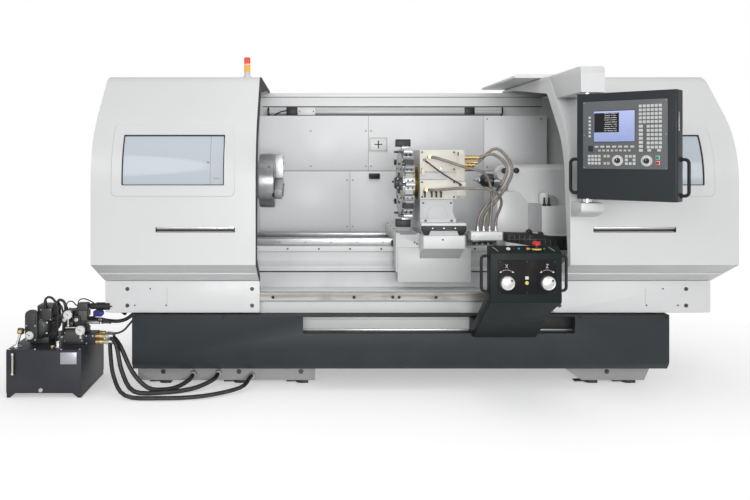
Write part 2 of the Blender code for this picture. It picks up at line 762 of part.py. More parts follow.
prism("work_light", "x", [(HOUSING_BACK - LAMP_DEPTH, LAMP_Z0 + 0.020),
                          (HOUSING_BACK - LAMP_DEPTH / 2, LAMP_Z0),
                          (HOUSING_BACK, LAMP_Z0), (HOUSING_BACK, LAMP_Z0 + LAMP_H),
                          (HOUSING_BACK - LAMP_DEPTH, LAMP_Z0 + LAMP_H)],
      HOUSING_L_X1 + 0.055, X_OPEN1 - 0.039, white)

# Hydraulic unit: tank, motor, valves, manifold and its hoses
TANK_Z0 = TANK_FOOT
tank = prism("oil_tank", "y", rounded(TANK_X0, TANK_X1, TANK_Z0, TANK_TOP, 0.006, 2), TANK_Y0, TANK_Y1,
             tank_paint)
feet = [box("foot", x - 0.020, x + 0.020, TANK_Y0 + 0.002, TANK_Y1 - 0.002, 0.0, TANK_Z0 + 0.01)
        for x in (TANK_X0 + 0.022, TANK_X1 - 0.022)]
add(tank, *feet)
seat = TANK_TOP + GAP
mx = TANK_X0 + 0.135
my = TANK_Y0 + 0.235
mz = seat + 0.020 + MOTOR_R
motor = turned("pump_motor", "y", (mx, mz),
               [(my - MOTOR_LEN / 2, MOTOR_R * 0.55), (my - MOTOR_LEN / 2 + 0.012, MOTOR_R * 0.85),
                (my - MOTOR_LEN / 2 + 0.030, MOTOR_R), (my + MOTOR_LEN / 2 - 0.030, MOTOR_R),
                (my + MOTOR_LEN / 2, MOTOR_R * 0.75), (my + MOTOR_LEN / 2 + 0.050, MOTOR_R * 0.75)],
                dark, 20)
add(motor,
    box("seat", mx - 0.055, mx + 0.055, my - 0.080, my + 0.070, seat, mz - MOTOR_R * 0.6),
    box("terminals", mx - 0.020, mx + 0.085, my - 0.060, my + 0.040, mz + MOTOR_R * 0.5,
        mz + MOTOR_R + 0.042))
vx = TANK_X1 - VALVE_IN
vy = TANK_Y0 + VALVE_BACK
vz = seat + VALVE_BASE_H
valve = box("valve_block", vx - VALVE_BASE_L, vx + VALVE_BASE_R, vy - VALVE_BASE_F, vy + VALVE_BASE_B,
            seat, vz, dark)
valve_parts = []
for k in range(2):
    x = vx - 0.050 + VALVE_PITCH * k
    valve_parts.append(box("body", x - VALVE_W / 2, x + VALVE_W / 2, vy - 0.040, vy + 0.060, vz - 0.01,
                           vz - 0.01 + VALVE_H))
    valve_parts.append(turned("coil", "y", (x, vz + 0.070),
                              [(vy - COIL_REACH, COIL_R), (vy + COIL_REACH, COIL_R)],
                              None, 12))
valve_parts.append(turned("side_coil", "x", (vy + 0.010, vz + 0.045),
                          [(vx + 0.03, 0.020), (vx + 0.115, 0.020)], None, 12))
gx = vx - 0.120
gz = seat + GAUGE_UP
valve_parts.append(turned("stem", "z", (gx, vy - 0.030), [(seat, 0.008), (gz, 0.008)], None, 10))
valve_parts.append(box("bridge", gx, vx - 0.05, vy - 0.036, vy - 0.024, vz - 0.06, vz - 0.044))
valve_parts.append(turned("dial", "y", (gx, gz), [(vy - 0.052, GAUGE_R * 0.9), (vy - 0.048, GAUGE_R),
                                                        (vy - 0.020, GAUGE_R)], None, 20))
add(valve, *valve_parts)
MAN_X0 = TANK_X1 - 0.018
MAN_X1 = MAN_X0 + 0.120
MAN_Y0 = vy - 0.070
box("manifold", MAN_X0 + GAP, MAN_X1, MAN_Y0, MAN_Y0 + 0.110, seat, seat + 0.062, brass)

# Left hood
LD = (LEFT_HOOD_LEN / 2, 0.10, 1.30)
hood("left", 0.0, X_OPEN0, WIN_FROM_END, X_OPEN0 - PULL_FROM_EDGE - PULL_LEN, True, LD)
TOWER = (X_OPEN0 - 0.0875, 0.475)
tz = HOOD_TOP + GAP
turned("tower_base", "z", TOWER, [(tz, 0.026), (tz + 0.010, 0.026), (tz + 0.014, 0.018),
                                  (tz + 0.037, 0.018)],
       casting, 16, LD)
tz = tz + 0.037 + GAP
turned("tower_lamps", "z", TOWER, [(tz, 0.019), (tz + 0.040, 0.019), (tz + 0.041, 0.016),
                                   (tz + 0.046, 0.016),
                                   (tz + 0.047, 0.019), (tz + 0.082, 0.019), (tz + 0.088, 0.012)], amber,
                                   16, LD)

# Right hood with the pendant's arm and bracket
RD = (X_OPEN1 + RIGHT_HOOD_LEN / 2, 0.10, 1.30)
hood("right", X_OPEN1, X_END, X_END - 0.0615 - WIN_FROM_END - WIN_LEN, X_OPEN1 + PULL_FROM_EDGE + 0.0085,
     False, RD)
outside = offset_path(HOOD_PATH, -GAP)
low = (y_at(outside, ARM_BOTTOM), ARM_BOTTOM)
arm_pts = [(-ARM_REACH, ARM_BOTTOM), (-ARM_REACH, HOOD_TOP - 0.014), (-ARM_REACH + 0.014, HOOD_TOP)]
arm_pts += [p for p in reversed(outside[:-3]) if ARM_BOTTOM + 0.002 < p[1] < HOOD_TOP] + [low]
prism("pendant_arm", "x", arm_pts, X_OPEN1, X_OPEN1 + ARM_W, white, RD)
prism("pendant_bracket", "x", [(-ARM_REACH, BRACKET_TOP - 0.036), (-ARM_REACH, BRACKET_TOP),
                               (-GAP, BRACKET_TOP),
                               (-GAP, BRACKET_TOP - BRACKET_H),
                               (-ARM_REACH / 2, BRACKET_TOP - BRACKET_H + 0.012)],
      PEND_X - BRACKET_W / 2, PEND_X + BRACKET_W / 2, white, RD)
ct = HOOD_TOP + GAP
cover_back = HOOD_DEPTH - COVER_BACK_IN
prism("arm_cover", "y", [(X_OPEN1 - COVER_OUT, ct + 0.0067), (X_OPEN1 + 0.016, ct + 0.0067),
                         (X_OPEN1 + 0.016, ct),
                         (X_OPEN1 + ARM_W - 0.005, ct), (X_OPEN1 + ARM_W - 0.005, ct + COVER_T),
                         (X_OPEN1 - COVER_OUT + 0.020, ct + COVER_T),
                         (X_OPEN1 - COVER_OUT, ct + COVER_T - 0.008)],
      cover_back - COVER_LEN, cover_back, white, RD)

# Pendant, drawn square about its pin and then turned
pu = PEND_X - PIVOT_U
pv = PEND_Y - PIVOT_V
b = CASE_BEVEL
case = prism("pendant_case", "z", [(pu + b, pv), (pu + PEND_W - b, pv), (pu + PEND_W, pv + b),
                                   (pu + PEND_W, pv + PEND_D * 0.75), (pu + PEND_W - 0.035, pv + PEND_D),
                                   (pu + b, pv + PEND_D), (pu, pv + PEND_D - b), (pu, pv + b)],
             PEND_Z0, PEND_TOP, slate)
add(case,
    turned("boss", "z", (PEND_X, PEND_Y), [(BRACKET_TOP + GAP, BOSS_R), (PEND_Z0 + 0.01, BOSS_R)], None,
           16),
    turned("boss", "z", (PEND_X, PEND_Y), [(PEND_TOP - 0.01, BOSS_R), (ARM_BOTTOM - GAP, BOSS_R)], None,
           16))
panel = box("pendant_panel", pu + PLATE_IN_L, pu + PEND_W - PLATE_IN_R, pv - PLATE_T, pv - GAP,
            PEND_Z0 + PLATE_UP,
            PEND_TOP - PLATE_IN_TOP, face)
gy = pv + 0.060
grip_l = grip("pendant_grip_left", pu - GAP, -1, gy, PEND_Z0 + 0.03, PEND_Z0 + 0.21, 0.040, 0.009)
grip_r = grip("pendant_grip_right", pu + PEND_W + GAP, 1, gy, PEND_Z0 + 0.03, PEND_Z0 + 0.21, 0.036, 0.008)
pivot = P(PEND_X, PEND_Y, PEND_Z0)
for ob in (case, panel, grip_l, grip_r):
    if ob.type == "CURVE":
        for pt in ob.data.splines[0].points:
            c = Vector(pt.co[:3]) - pivot
            pt.co = (c.x, c.y, c.z, 1.0)
    else:
        ob.data.transform(Matrix.Translation(-pivot))
    ob.matrix_world = Matrix.Translation(pivot) @ Matrix.Rotation(math.radians(PEND_TURN), 4, "Z")

# Carriage
CJ = (SADDLE_X + SADDLE_LEN / 2, AXIS_Y - 0.15, BED_TOP + 0.05)
saddle = prism("saddle", "x", [(SADDLE_FRONT, APRON_LOW), (BED_Y0 - 0.015, APRON_LOW),
                               (BED_Y0 - 0.015, BED_TOP + GAP), (SADDLE_BACK, BED_TOP + GAP),
                               (SADDLE_BACK, SADDLE_TOP - 0.02), (SADDLE_BACK - 0.02, SADDLE_TOP),
                               (SADDLE_FRONT, SADDLE_TOP)], SADDLE_X, SADDLE_X1, white)
nose = prism("nose", "x", [(NOSE_FRONT, SADDLE_TOP - 0.075), (NOSE_FRONT, SADDLE_TOP),
                           (SADDLE_FRONT + 0.04, SADDLE_TOP),
                           (SADDLE_FRONT + 0.04, SADDLE_TOP - 0.135)], SLIDE_X0 + 0.010, SLIDE_X1 - 0.010)
add(saddle, nose)
cut(saddle, *way_room(SADDLE_X, SADDLE_X1))
set_origin(saddle, CJ)
HOSE_Y = NOSE_FRONT + 0.080
HOSE_Z = SADDLE_TOP + 0.019
block = box("hose_block", SADDLE_X1 + GAP, SADDLE_X1 + 0.182, HOSE_Y - 0.050, HOSE_Y + 0.050,
            HOSE_Z - 0.049,
            HOSE_Z, white)
add(block, box("stay", SADDLE_X1 + GAP, SADDLE_X1 + 0.158, HOSE_Y + 0.040, SADDLE_FRONT + 0.06,
               HOSE_Z - 0.074,
               HOSE_Z - 0.034))
set_origin(block, CJ)

# Cross slide, turret stand and head
XJ = (SLIDE_X0 + SLIDE_W / 2, AXIS_Y - 0.30, SLIDE_BOTTOM)
step = SLIDE_BOTTOM + SLIDE_T * 0.53
slide = prism("cross_slide", "y", [(SLIDE_X0 + 0.018, SLIDE_BOTTOM), (SLIDE_X1 - 0.018, SLIDE_BOTTOM),
                                   (SLIDE_X1 - 0.018, step), (SLIDE_X1, step), (SLIDE_X1, SLIDE_TOP),
                                   (SLIDE_X0, SLIDE_TOP), (SLIDE_X0, step), (SLIDE_X0 + 0.018, step)],
              SLIDE_FRONT, SLIDE_FRONT + SLIDE_LEN, casting, XJ)
prism("turret_stand", "y", [(SLIDE_X0, SLIDE_TOP + GAP), (SLIDE_X0 + STAND_W, SLIDE_TOP + GAP),
                            (SLIDE_X0 + STAND_W, SLIDE_TOP + 0.030),
                            (SLIDE_X0 + STAND_W - 0.012, SLIDE_TOP + 0.042),
                            (SLIDE_X0 + STAND_W - 0.012, STAND_TOP), (SLIDE_X0, STAND_TOP)],
      STAND_FRONT, STAND_FRONT + STAND_LEN, casting, XJ)
HB_Z0 = STAND_TOP + GAP
HB_Z1 = HB_Z0 + HEAD_BOX_H
hx0 = SLIDE_X0 - 0.002
hx1 = SLIDE_X0 + STAND_W
port_x1 = hx1 + PORT_BOX_OUT
port_y0 = HEAD_FRONT + PORT_BOX_IN
top = prism("turret_head", "x", rounded(HEAD_FRONT, HEAD_FRONT + HEAD_BOX_D, HB_Z0, HB_Z1, 0.012, 2),
            hx0, hx1, cream)
cut(top, box("band", hx0 + HEAD_BAND_IN, hx1 - HEAD_BAND_IN, HEAD_FRONT - 0.05, HEAD_FRONT + HEAD_BAND_DEEP,
             HB_Z0 + HEAD_BAND_UP, HB_Z0 + HEAD_BAND_UP + HEAD_BAND_H))
add(top,
    box("port_box", hx1 - 0.02, port_x1, port_y0, port_y0 + PORT_BOX_D, HB_Z0 + 0.002, HB_Z1 - 0.009),
    box("lug", hx1 - 0.004, hx1 + LUG_OUT, HEAD_FRONT + 0.006, HEAD_FRONT + 0.006 + LUG_D, HB_Z0 + LUG_UP,
        HB_Z0 + LUG_UP + LUG_H),
    box("ear", hx1 - 0.006, hx1 + EAR_OUT, HEAD_FRONT + 0.001, HEAD_FRONT + EAR_H, HB_Z1 - EAR_H,
        HB_Z1 - 0.001),
    turned("hub", "x", (TURRET_Y, TURRET_Z), [(DISC_X1 + GAP, HUB_R), (hx0 + 0.02, HUB_R)], None, 24))
set_origin(top, XJ)

# Tool disc: a faceted wheel with a tool block on each facet
TJ = (DISC_X + DISC_T / 2, TURRET_Y, TURRET_Z)
disc = turned("tool_disc", "x", (TURRET_Y, TURRET_Z),
              [(DISC_X - 0.012, 0.055), (DISC_X, 0.060), (DISC_X, DISC_R - 0.020), (DISC_X + 0.010, DISC_R),
               (DISC_X1, DISC_R)], dark, STATIONS, None, math.pi / STATIONS)
blocks = []
flat = DISC_R * math.cos(math.pi / STATIONS)
for k in range(STATIONS):
    ang = 2 * math.pi * k / STATIONS
    if k % 2 == 0:
        piece = box("holder", DISC_X + 0.004, DISC_X1 - 0.004, TURRET_Y + flat - 0.012,
                    TURRET_Y + TOOL_REACH - 0.020,
                    TURRET_Z - 0.032, TURRET_Z + 0.026)
        shank = box("shank", DISC_X - 0.008, DISC_X + 0.026, TURRET_Y + flat + 0.020, TURRET_Y + TOOL_REACH,
                    TURRET_Z - 0.012, TURRET_Z + 0.012)
        parts = [add(piece, shank)]
    else:
        parts = [box("wedge", DISC_X + 0.008, DISC_X1 - 0.010, TURRET_Y + flat - 0.012,
                     TURRET_Y + flat + 0.030,
                     TURRET_Z - 0.024, TURRET_Z + 0.024)]
    for piece in parts:
        c = P(0, TURRET_Y, TURRET_Z)
        piece.data.transform(Matrix.Translation(c) @ Matrix.Rotation(ang, 4, "X") @ Matrix.Translation(-c))
        blocks.append(piece)
add(disc, *blocks)
set_origin(disc, TJ)

# Chuck with three stepped jaws
SJ = (CHUCK_X0 + CHUCK_T / 2, AXIS_Y, AXIS_Z)
groove_x = CHUCK_X0 + CHUCK_GROOVE_AT
chuck = turned("chuck", "x", (AXIS_Y, AXIS_Z),
               [(CHUCK_X0, NOSE_R - 0.004), (CHUCK_X0 + 0.004, NOSE_R), (CHUCK_X0 + 0.005, CHUCK_R - 0.005),
                (CHUCK_X0 + 0.010, CHUCK_R), (groove_x, CHUCK_R),
                (groove_x + 0.0005, CHUCK_R - CHUCK_GROOVE_D),
                (groove_x + CHUCK_GROOVE_W, CHUCK_R - CHUCK_GROOVE_D),
                (groove_x + CHUCK_GROOVE_W + 0.0005, CHUCK_R),
                (CHUCK_X1 - 0.006, CHUCK_R), (CHUCK_X1, CHUCK_R - 0.006)],
               steel, 36)
jaws = []
for k in range(3):
    ang = math.radians(90 + 120 * k)
    r1 = CHUCK_R - 0.010
    r0 = r1 - JAW_LEN
    mid = r0 + JAW_LEN * 0.55
    hw = JAW_W / 2
    # Side outline of one jaw in (x, radius), drawn along the spindle
    outline = [(CHUCK_X1 - 0.010, AXIS_Y + r0), (CHUCK_X1 + JAW_OUT, AXIS_Y + r0),
               (CHUCK_X1 + JAW_OUT, AXIS_Y + mid),
               (CHUCK_X1 + JAW_OUT * 0.45, AXIS_Y + mid), (CHUCK_X1 + JAW_OUT * 0.45, AXIS_Y + r1),
               (CHUCK_X1 - 0.010, AXIS_Y + r1)]
    jaw = prism("jaw", "z", outline, AXIS_Z - hw, AXIS_Z + hw, None)
    c = P(0, AXIS_Y, AXIS_Z)
    jaw.data.transform(Matrix.Translation(c) @ Matrix.Rotation(ang, 4, "X") @ Matrix.Translation(-c))
    jaws.append(jaw)
add(chuck, *jaws)
cut(chuck, turned("bore", "x", (AXIS_Y, AXIS_Z),
                  [(CHUCK_X0 - 0.1, CHUCK_BORE_R), (CHUCK_X1 + 0.2, CHUCK_BORE_R)],
                  None, 24))
set_origin(chuck, SJ)

# Tailstock: saddle foot, waisted body and round barrel along the spindle axis
KJ = (TAIL_X + TAIL_LEN / 2, AXIS_Y, BED_TOP)
tb = BED_TOP + GAP
body_pts = [(BED_Y0 - 0.020, tb), (BED_Y1 + 0.020, tb), (BED_Y1 + 0.020, tb + 0.070),
            (BED_Y1 - 0.050, tb + 0.130),
            (AXIS_Y + 0.105, AXIS_Z - 0.060), (AXIS_Y - 0.105, AXIS_Z - 0.060),
            (BED_Y0 + 0.050, tb + 0.130),
            (BED_Y0 - 0.020, tb + 0.070)]
tail = prism("tailstock", "x", body_pts, TAIL_X, TAIL_X + TAIL_LEN, casting)
add(tail, turned("barrel", "x", (AXIS_Y, AXIS_Z), [(TAIL_X - 0.006, 0.090), (TAIL_X, 0.100),
                                                   (TAIL_X + TAIL_LEN - 0.02, 0.100),
                                                   (TAIL_X + TAIL_LEN + 0.006, 0.080)], None, 28))
# Chip guard, clamp box and drive box along the front, with two locking knobs on the barrel
front_y = BED_Y0 - 0.020
guard_x0 = TAIL_X - GUARD_OUT
guard_x1 = guard_x0 + GUARD_LEN
guard_top = tb + 0.004 + GUARD_H
clamp_x0 = TAIL_X + CLAMP_BOX_AT
drive_x0 = clamp_x0 + CLAMP_BOX_LEN
knob_z = AXIS_Z + KNOB_UP
add(tail,
    prism("guard", "y", [(guard_x0, tb + 0.004), (guard_x1, tb + 0.004),
                         (guard_x1, guard_top - GUARD_CHAMFER),
                         (guard_x1 - GUARD_CHAMFER, guard_top), (guard_x0, guard_top)], front_y + 0.001,
          front_y + GUARD_D),
    box("clamp_box", clamp_x0, drive_x0 + 0.001, front_y + 0.020, front_y + 0.140, tb + 0.004,
        tb + CLAMP_BOX_H),
    box("drive_box", drive_x0, drive_x0 + DRIVE_BOX_LEN, front_y + 0.005, front_y + 0.120, tb + 0.004,
        tb + DRIVE_BOX_H))
for x in (TAIL_X + 0.020, TAIL_X + 0.120):
    add(tail, turned("knob", "y", (x, knob_z), [(AXIS_Y - 0.095 - KNOB_OUT, KNOB_R * 0.75),
                                                (AXIS_Y - 0.091 - KNOB_OUT, KNOB_R),
                                                (AXIS_Y - 0.073 - KNOB_OUT, KNOB_R),
                                                (AXIS_Y - 0.072 - KNOB_OUT, KNOB_R * 0.55),
                                                (AXIS_Y - 0.070, KNOB_R * 0.55)], None, 16))
cut(tail, *way_room(TAIL_X, TAIL_X + TAIL_LEN))
cut(tail, turned("bore", "x", (AXIS_Y, AXIS_Z), [(TAIL_X - 0.1, QUILL_R + 0.0005),
                                                 (TAIL_X + TAIL_LEN - 0.080, QUILL_R + 0.0005)], None, 24))
set_origin(tail, KJ)
QJ = (TAIL_X, AXIS_Y, AXIS_Z)
tip = TAIL_X - QUILL_OUT
turned("quill", "x", (AXIS_Y, AXIS_Z), [(tip, 0.0), (tip + 0.038, CENTRE_R), (tip + 0.068, CENTRE_R),
                                        (tip + 0.070, 0.042), (TAIL_X - 0.030, 0.046),
                                        (TAIL_X - 0.0295, QUILL_R),
                                        (TAIL_X + TAIL_LEN - 0.100, QUILL_R)], dark, 24, QJ)

# Console on its rail in the tray's slot
OJ = (CON_X + CON_W / 2, CON_FRONT + 0.10, CON_BOTTOM)
tongue = TRAY_Y0 + TONGUE_DEEP
skirt = TRAY_Y0 - 0.025
ty1 = SLOT_BOTTOM + TONGUE_H
con = prism("console_case", "x", [(CON_FRONT, CON_BOTTOM), (CON_FRONT, CON_FACE_TOP),
                                  (CON_FRONT + CON_SLOPE, CON_TOP), (CON_BACK, CON_TOP),
                                  (CON_BACK, CON_BOTTOM + 0.053),
                                  (skirt, ty1 + 0.010), (skirt, ty1), (tongue, ty1),
                                  (tongue, SLOT_BOTTOM + GAP),
                                  (TRAY_Y0 - 0.002, SLOT_BOTTOM + GAP),
                                  (TRAY_Y0 - 0.065, SLOT_BOTTOM - 0.008)],
            CON_X, CON_X1, slate)
cut(con, prism("side", "y", [(CON_X1 + 0.1, CON_BOTTOM + 0.013), (CON_X1, CON_BOTTOM + 0.013),
                             (CON_X1 - 0.05, CON_BOTTOM - 0.047), (CON_X1 - 0.145, SLOT_BOTTOM - 0.036),
                             (CON_X1 + 0.1, SLOT_BOTTOM - 0.036)], CON_FRONT - 0.3, TRAY_Y0 + 0.3, None))
set_origin(con, OJ)
wheel_x1 = CON_X1 - 0.084
wheel_x0 = wheel_x1 - WHEEL_SPAN
cp = box("console_panel", wheel_x0 - 0.045, wheel_x1 + 0.047, CON_FRONT - 0.004, CON_FRONT - GAP,
         WHEEL_Z - 0.061,
         WHEEL_Z + 0.117, black, OJ)
grip("console_grip_left", CON_X - GAP, -1, CON_FRONT + 0.050, CON_BOTTOM + 0.018, CON_BOTTOM + 0.198,
     0.036, 0.008)
grip("console_grip_right", CON_X1 + GAP, 1, CON_FRONT + 0.050, CON_BOTTOM + 0.033, CON_BOTTOM + 0.198,
     0.030, 0.008)
ez = CON_TOP + GAP
turned("stop_button", "z", (CON_X1 - 0.141, CON_FRONT + 0.115),
       [(ez, 0.014), (ez + 0.020, 0.014), (ez + 0.021, 0.028),
                                                                (ez + 0.035, 0.026),
                                                                (ez + 0.041, 0.014)], red, 20, OJ)
wf = CON_FRONT - 0.004 - GAP
for nm, x in (("x_wheel", wheel_x0), ("z_wheel", wheel_x1)):
    turned(nm, "y", (x, WHEEL_Z), [(wf, WHEEL_R - 0.007), (wf - 0.006, WHEEL_R - 0.007),
                                   (wf - 0.007, WHEEL_R),
                                   (wf - WHEEL_T + 0.004, WHEEL_R - 0.001),
                                   (wf - WHEEL_T, WHEEL_R - 0.005)],
           aluminium, 24, (x, wf, WHEEL_Z))

# Braided hoses from the carriage's block to the turret head
hz = HOSE_Z + GAP
sx = SADDLE_X1
hr = port_x1 + GAP
hf = HEAD_FRONT - GAP
hose("turret_hose_1", (sx + 0.048, HOSE_Y, hz),
     [(sx + 0.048, HOSE_Y, hz + 0.025), (sx + 0.068, HOSE_Y, hz + 0.105),
      (sx + 0.188, HOSE_Y + 0.02, hz + 0.265),
      (sx + 0.228, HOSE_Y + 0.03, hz + 0.375), (sx + 0.158, HOSE_Y + 0.07, hz + 0.450),
      (hr + 0.040, HOSE_Y + 0.09, hz + 0.430)],
     (hr, HOSE_Y + 0.09, hz + 0.430), 0.009, braid)
hose("turret_hose_2", (sx + 0.083, HOSE_Y, hz),
     [(sx + 0.083, HOSE_Y, hz + 0.025), (sx + 0.103, HOSE_Y, hz + 0.105),
      (sx + 0.218, HOSE_Y + 0.02, hz + 0.255),
      (sx + 0.258, HOSE_Y + 0.03, hz + 0.375), (sx + 0.178, HOSE_Y + 0.08, hz + 0.485),
      (hr + 0.040, HOSE_Y + 0.13, hz + 0.400)],
     (hr, HOSE_Y + 0.13, hz + 0.400), 0.009, braid)
hose("turret_hose_3", (sx + 0.118, HOSE_Y, hz),
     [(sx + 0.118, HOSE_Y, hz + 0.025), (sx + 0.123, HOSE_Y - 0.010, hz + 0.085),
      (sx + 0.123, HOSE_Y - 0.035, hz + 0.215),
      (sx + 0.078, hf - 0.035, hz + 0.335), (hx1 + 0.040, hf - 0.055, hz + 0.375),
      (hx0 + 0.102, hf - 0.055, hz + 0.425),
      (hx0 + 0.052, hf - 0.025, hz + 0.435)], (hx0 + 0.052, hf, hz + 0.435), 0.008, braid)
hose("turret_hose_4", (sx + 0.153, HOSE_Y, hz),
     [(sx + 0.153, HOSE_Y, hz + 0.025), (sx + 0.158, HOSE_Y - 0.010, hz + 0.085),
      (sx + 0.173, HOSE_Y - 0.060, hz + 0.175),
      (sx + 0.108, hf - 0.075, hz + 0.245), (hx1 + 0.010, hf - 0.075, hz + 0.255),
      (hx0 + 0.092, hf - 0.065, hz + 0.245),
      (hx0 + 0.032, hf - 0.025, hz + 0.245)], (hx0 + 0.032, hf, hz + 0.245), 0.008, braid)

# Hydraulic hoses across the floor into the left foot, and the loop of the supply lead
mxe = MAN_X1 + GAP
fy = FOOT_Y0 - GAP
R_BIG = 0.013
runs = [
    (MAN_Y0 + 0.018, seat + 0.047, [(0.080, MAN_Y0 - 0.01, 0.27), (0.120, 0.215, 0.13),
                                    (0.200, 0.165, 0.030),
                                    (0.360, 0.185, 0.017), (0.520, 0.245, 0.020), (0.630, 0.310, 0.050)],
                                    0.660, 0.075),
    (MAN_Y0 + 0.054, seat + 0.044, [(0.095, MAN_Y0 + 0.02, 0.26), (0.175, 0.240, 0.12),
                                    (0.265, 0.235, 0.030),
                                    (0.360, 0.240, 0.017), (0.430, 0.285, 0.020), (0.490, 0.335, 0.045)],
                                    0.510, 0.070),
    (MAN_Y0 + 0.018, seat + 0.014, [(0.048, MAN_Y0 - 0.02, 0.225), (0.080, 0.185, 0.11),
                                    (0.165, 0.110, 0.022),
                                    (0.360, 0.085, 0.016), (0.600, 0.120, 0.017), (0.800, 0.230, 0.030),
                                    (0.850, 0.330, 0.060)], 0.860, 0.060),
]
for k, (y0, z0, keys, xe, ze) in enumerate(runs):
    hose("floor_hose_%d" % (k + 1), (mxe, y0, z0), [(mxe + 0.025, y0, z0)] + keys + [(xe, fy - 0.030, ze)],
         (xe, fy, ze), R_BIG - 0.001 * (k == 2), rubber)

# Power cable and thin drain hose from the unit to the tray's end
cable_y = vy + 0.085
cable_z = vz + 0.063
hose("unit_cable", (vx + 0.115 + GAP, vy + 0.010, vz + 0.045),
     [(vx + 0.135, vy + 0.010, vz + 0.045), (vx + 0.172, vy + 0.025, vz + 0.035),
      (vx + 0.222, vy + 0.050, vz + 0.027),
      (vx + 0.267, vy + 0.070, vz + 0.037), (TRAY_X0 - 0.025, cable_y, cable_z)],
     (TRAY_X0 - GAP, cable_y, cable_z), 0.011, rubber)
drain_y = MAN_Y0 + 0.095
drain_z = seat + 0.120
hose("drain_hose", (mxe, drain_y, seat + 0.047),
     [(mxe + 0.020, drain_y, seat + 0.047), (mxe + 0.050, drain_y + 0.002, seat + 0.046),
      (mxe + 0.085, drain_y + 0.005, seat + 0.061), (mxe + 0.115, drain_y + 0.007, seat + 0.093),
      (TRAY_X0 - 0.018, drain_y + 0.007, drain_z)],
     (TRAY_X0 - GAP, drain_y + 0.007, drain_z), 0.006, rubber)
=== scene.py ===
# Flat-bed turning machine: finishes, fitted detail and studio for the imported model.
# Lengths are metres. Layout places count from the left hood's outer end, the hoods' front and the floor.
import json
from math import cos, hypot, pi, radians, sin

import bmesh
import bpy
from mathutils import Matrix, Vector, geometry


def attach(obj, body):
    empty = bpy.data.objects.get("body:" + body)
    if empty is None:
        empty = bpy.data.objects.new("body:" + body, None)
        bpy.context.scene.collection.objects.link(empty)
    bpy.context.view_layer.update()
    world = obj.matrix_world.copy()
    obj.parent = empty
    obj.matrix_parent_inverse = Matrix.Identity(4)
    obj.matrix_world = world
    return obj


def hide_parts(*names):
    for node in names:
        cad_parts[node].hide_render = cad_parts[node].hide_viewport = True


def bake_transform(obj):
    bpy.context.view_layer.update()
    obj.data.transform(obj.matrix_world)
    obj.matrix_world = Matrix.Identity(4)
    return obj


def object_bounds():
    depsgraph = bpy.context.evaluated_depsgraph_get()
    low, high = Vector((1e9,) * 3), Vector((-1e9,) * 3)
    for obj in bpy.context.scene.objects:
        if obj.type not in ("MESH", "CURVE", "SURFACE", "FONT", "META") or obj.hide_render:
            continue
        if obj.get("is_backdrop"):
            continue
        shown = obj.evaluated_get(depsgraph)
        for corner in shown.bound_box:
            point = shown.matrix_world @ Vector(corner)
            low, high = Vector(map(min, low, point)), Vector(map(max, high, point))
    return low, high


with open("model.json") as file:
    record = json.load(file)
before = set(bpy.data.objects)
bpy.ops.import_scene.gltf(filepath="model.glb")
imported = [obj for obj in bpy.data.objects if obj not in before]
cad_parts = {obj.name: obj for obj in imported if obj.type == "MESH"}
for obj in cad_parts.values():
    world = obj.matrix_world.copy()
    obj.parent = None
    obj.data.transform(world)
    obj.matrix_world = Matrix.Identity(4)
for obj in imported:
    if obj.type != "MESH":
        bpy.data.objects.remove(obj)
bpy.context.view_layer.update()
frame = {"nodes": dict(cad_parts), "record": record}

MID_X = 1.5225
MID_Y = 0.49694
TAU = 2 * pi
AHEAD = (0, -1, 0)
UP = (0, 0, 1)


def at(x, y, z):
    return Vector((x - MID_X, y - MID_Y, z))


def show(thing):
    bpy.context.scene.collection.objects.link(thing)


# Camera and studio

def studio():
    lens = bpy.data.cameras.new("camera")
    # Focal length and vanishing point, in pixels of a picture of 750 by 500
    focal, vanish_x, vanish_y = 764, 308, 155
    lens.sensor_width = 36.0
    lens.lens = 36.0 * focal / 750
    lens.shift_x = (375 - vanish_x) / 750
    lens.shift_y = -(250 - vanish_y) / 750

    lens.clip_start = 0.05
    camera = bpy.data.objects.new("camera", lens)
    camera.location = at(1.1957, -4.2, 1.38)
    camera.rotation_euler = (radians(90), 0, 0)
    show(camera)
    bpy.context.scene.camera = camera
    bpy.context.scene.view_settings.view_transform = "Standard"
    for name, place, aim, size, power in (("front_lamp", (0.3, -9.0, 1.3), (0.1, 0.0, 0.95), 2.4, 255),
            ("key_lamp", (-3.4, -7.0, 3.4), (0.0, 0.0, 0.9), 3.4, 85),
            ("fill_lamp", (3.8, -7.0, 2.6), (0.3, 0.0, 0.9), 3.4, 88),
            ("cabin_lamp", (0.25, -0.45, 2.75), (0.25, 0.45, 1.1), 1.3, 4),
            ("top_lamp", (0.2, -1.2, 5.2), (0.0, 0.0, 0.6), 3.6, 15)):
        lamp = bpy.data.lights.new(name, "AREA")
        lamp.shape = "DISK"
        lamp.size = size
        lamp.energy = power
        holder = bpy.data.objects.new(name, lamp)
        holder.location = place
        holder.rotation_euler = (Vector(aim) - Vector(place)).to_track_quat("-Z", "Y").to_euler()
        show(holder)


studio()


# Shader wiring

def step(operation, swapped=False):
    if swapped:
        return lambda self, other: self.maths(operation, other, self)
    return lambda self, other: self.maths(operation, self, other)


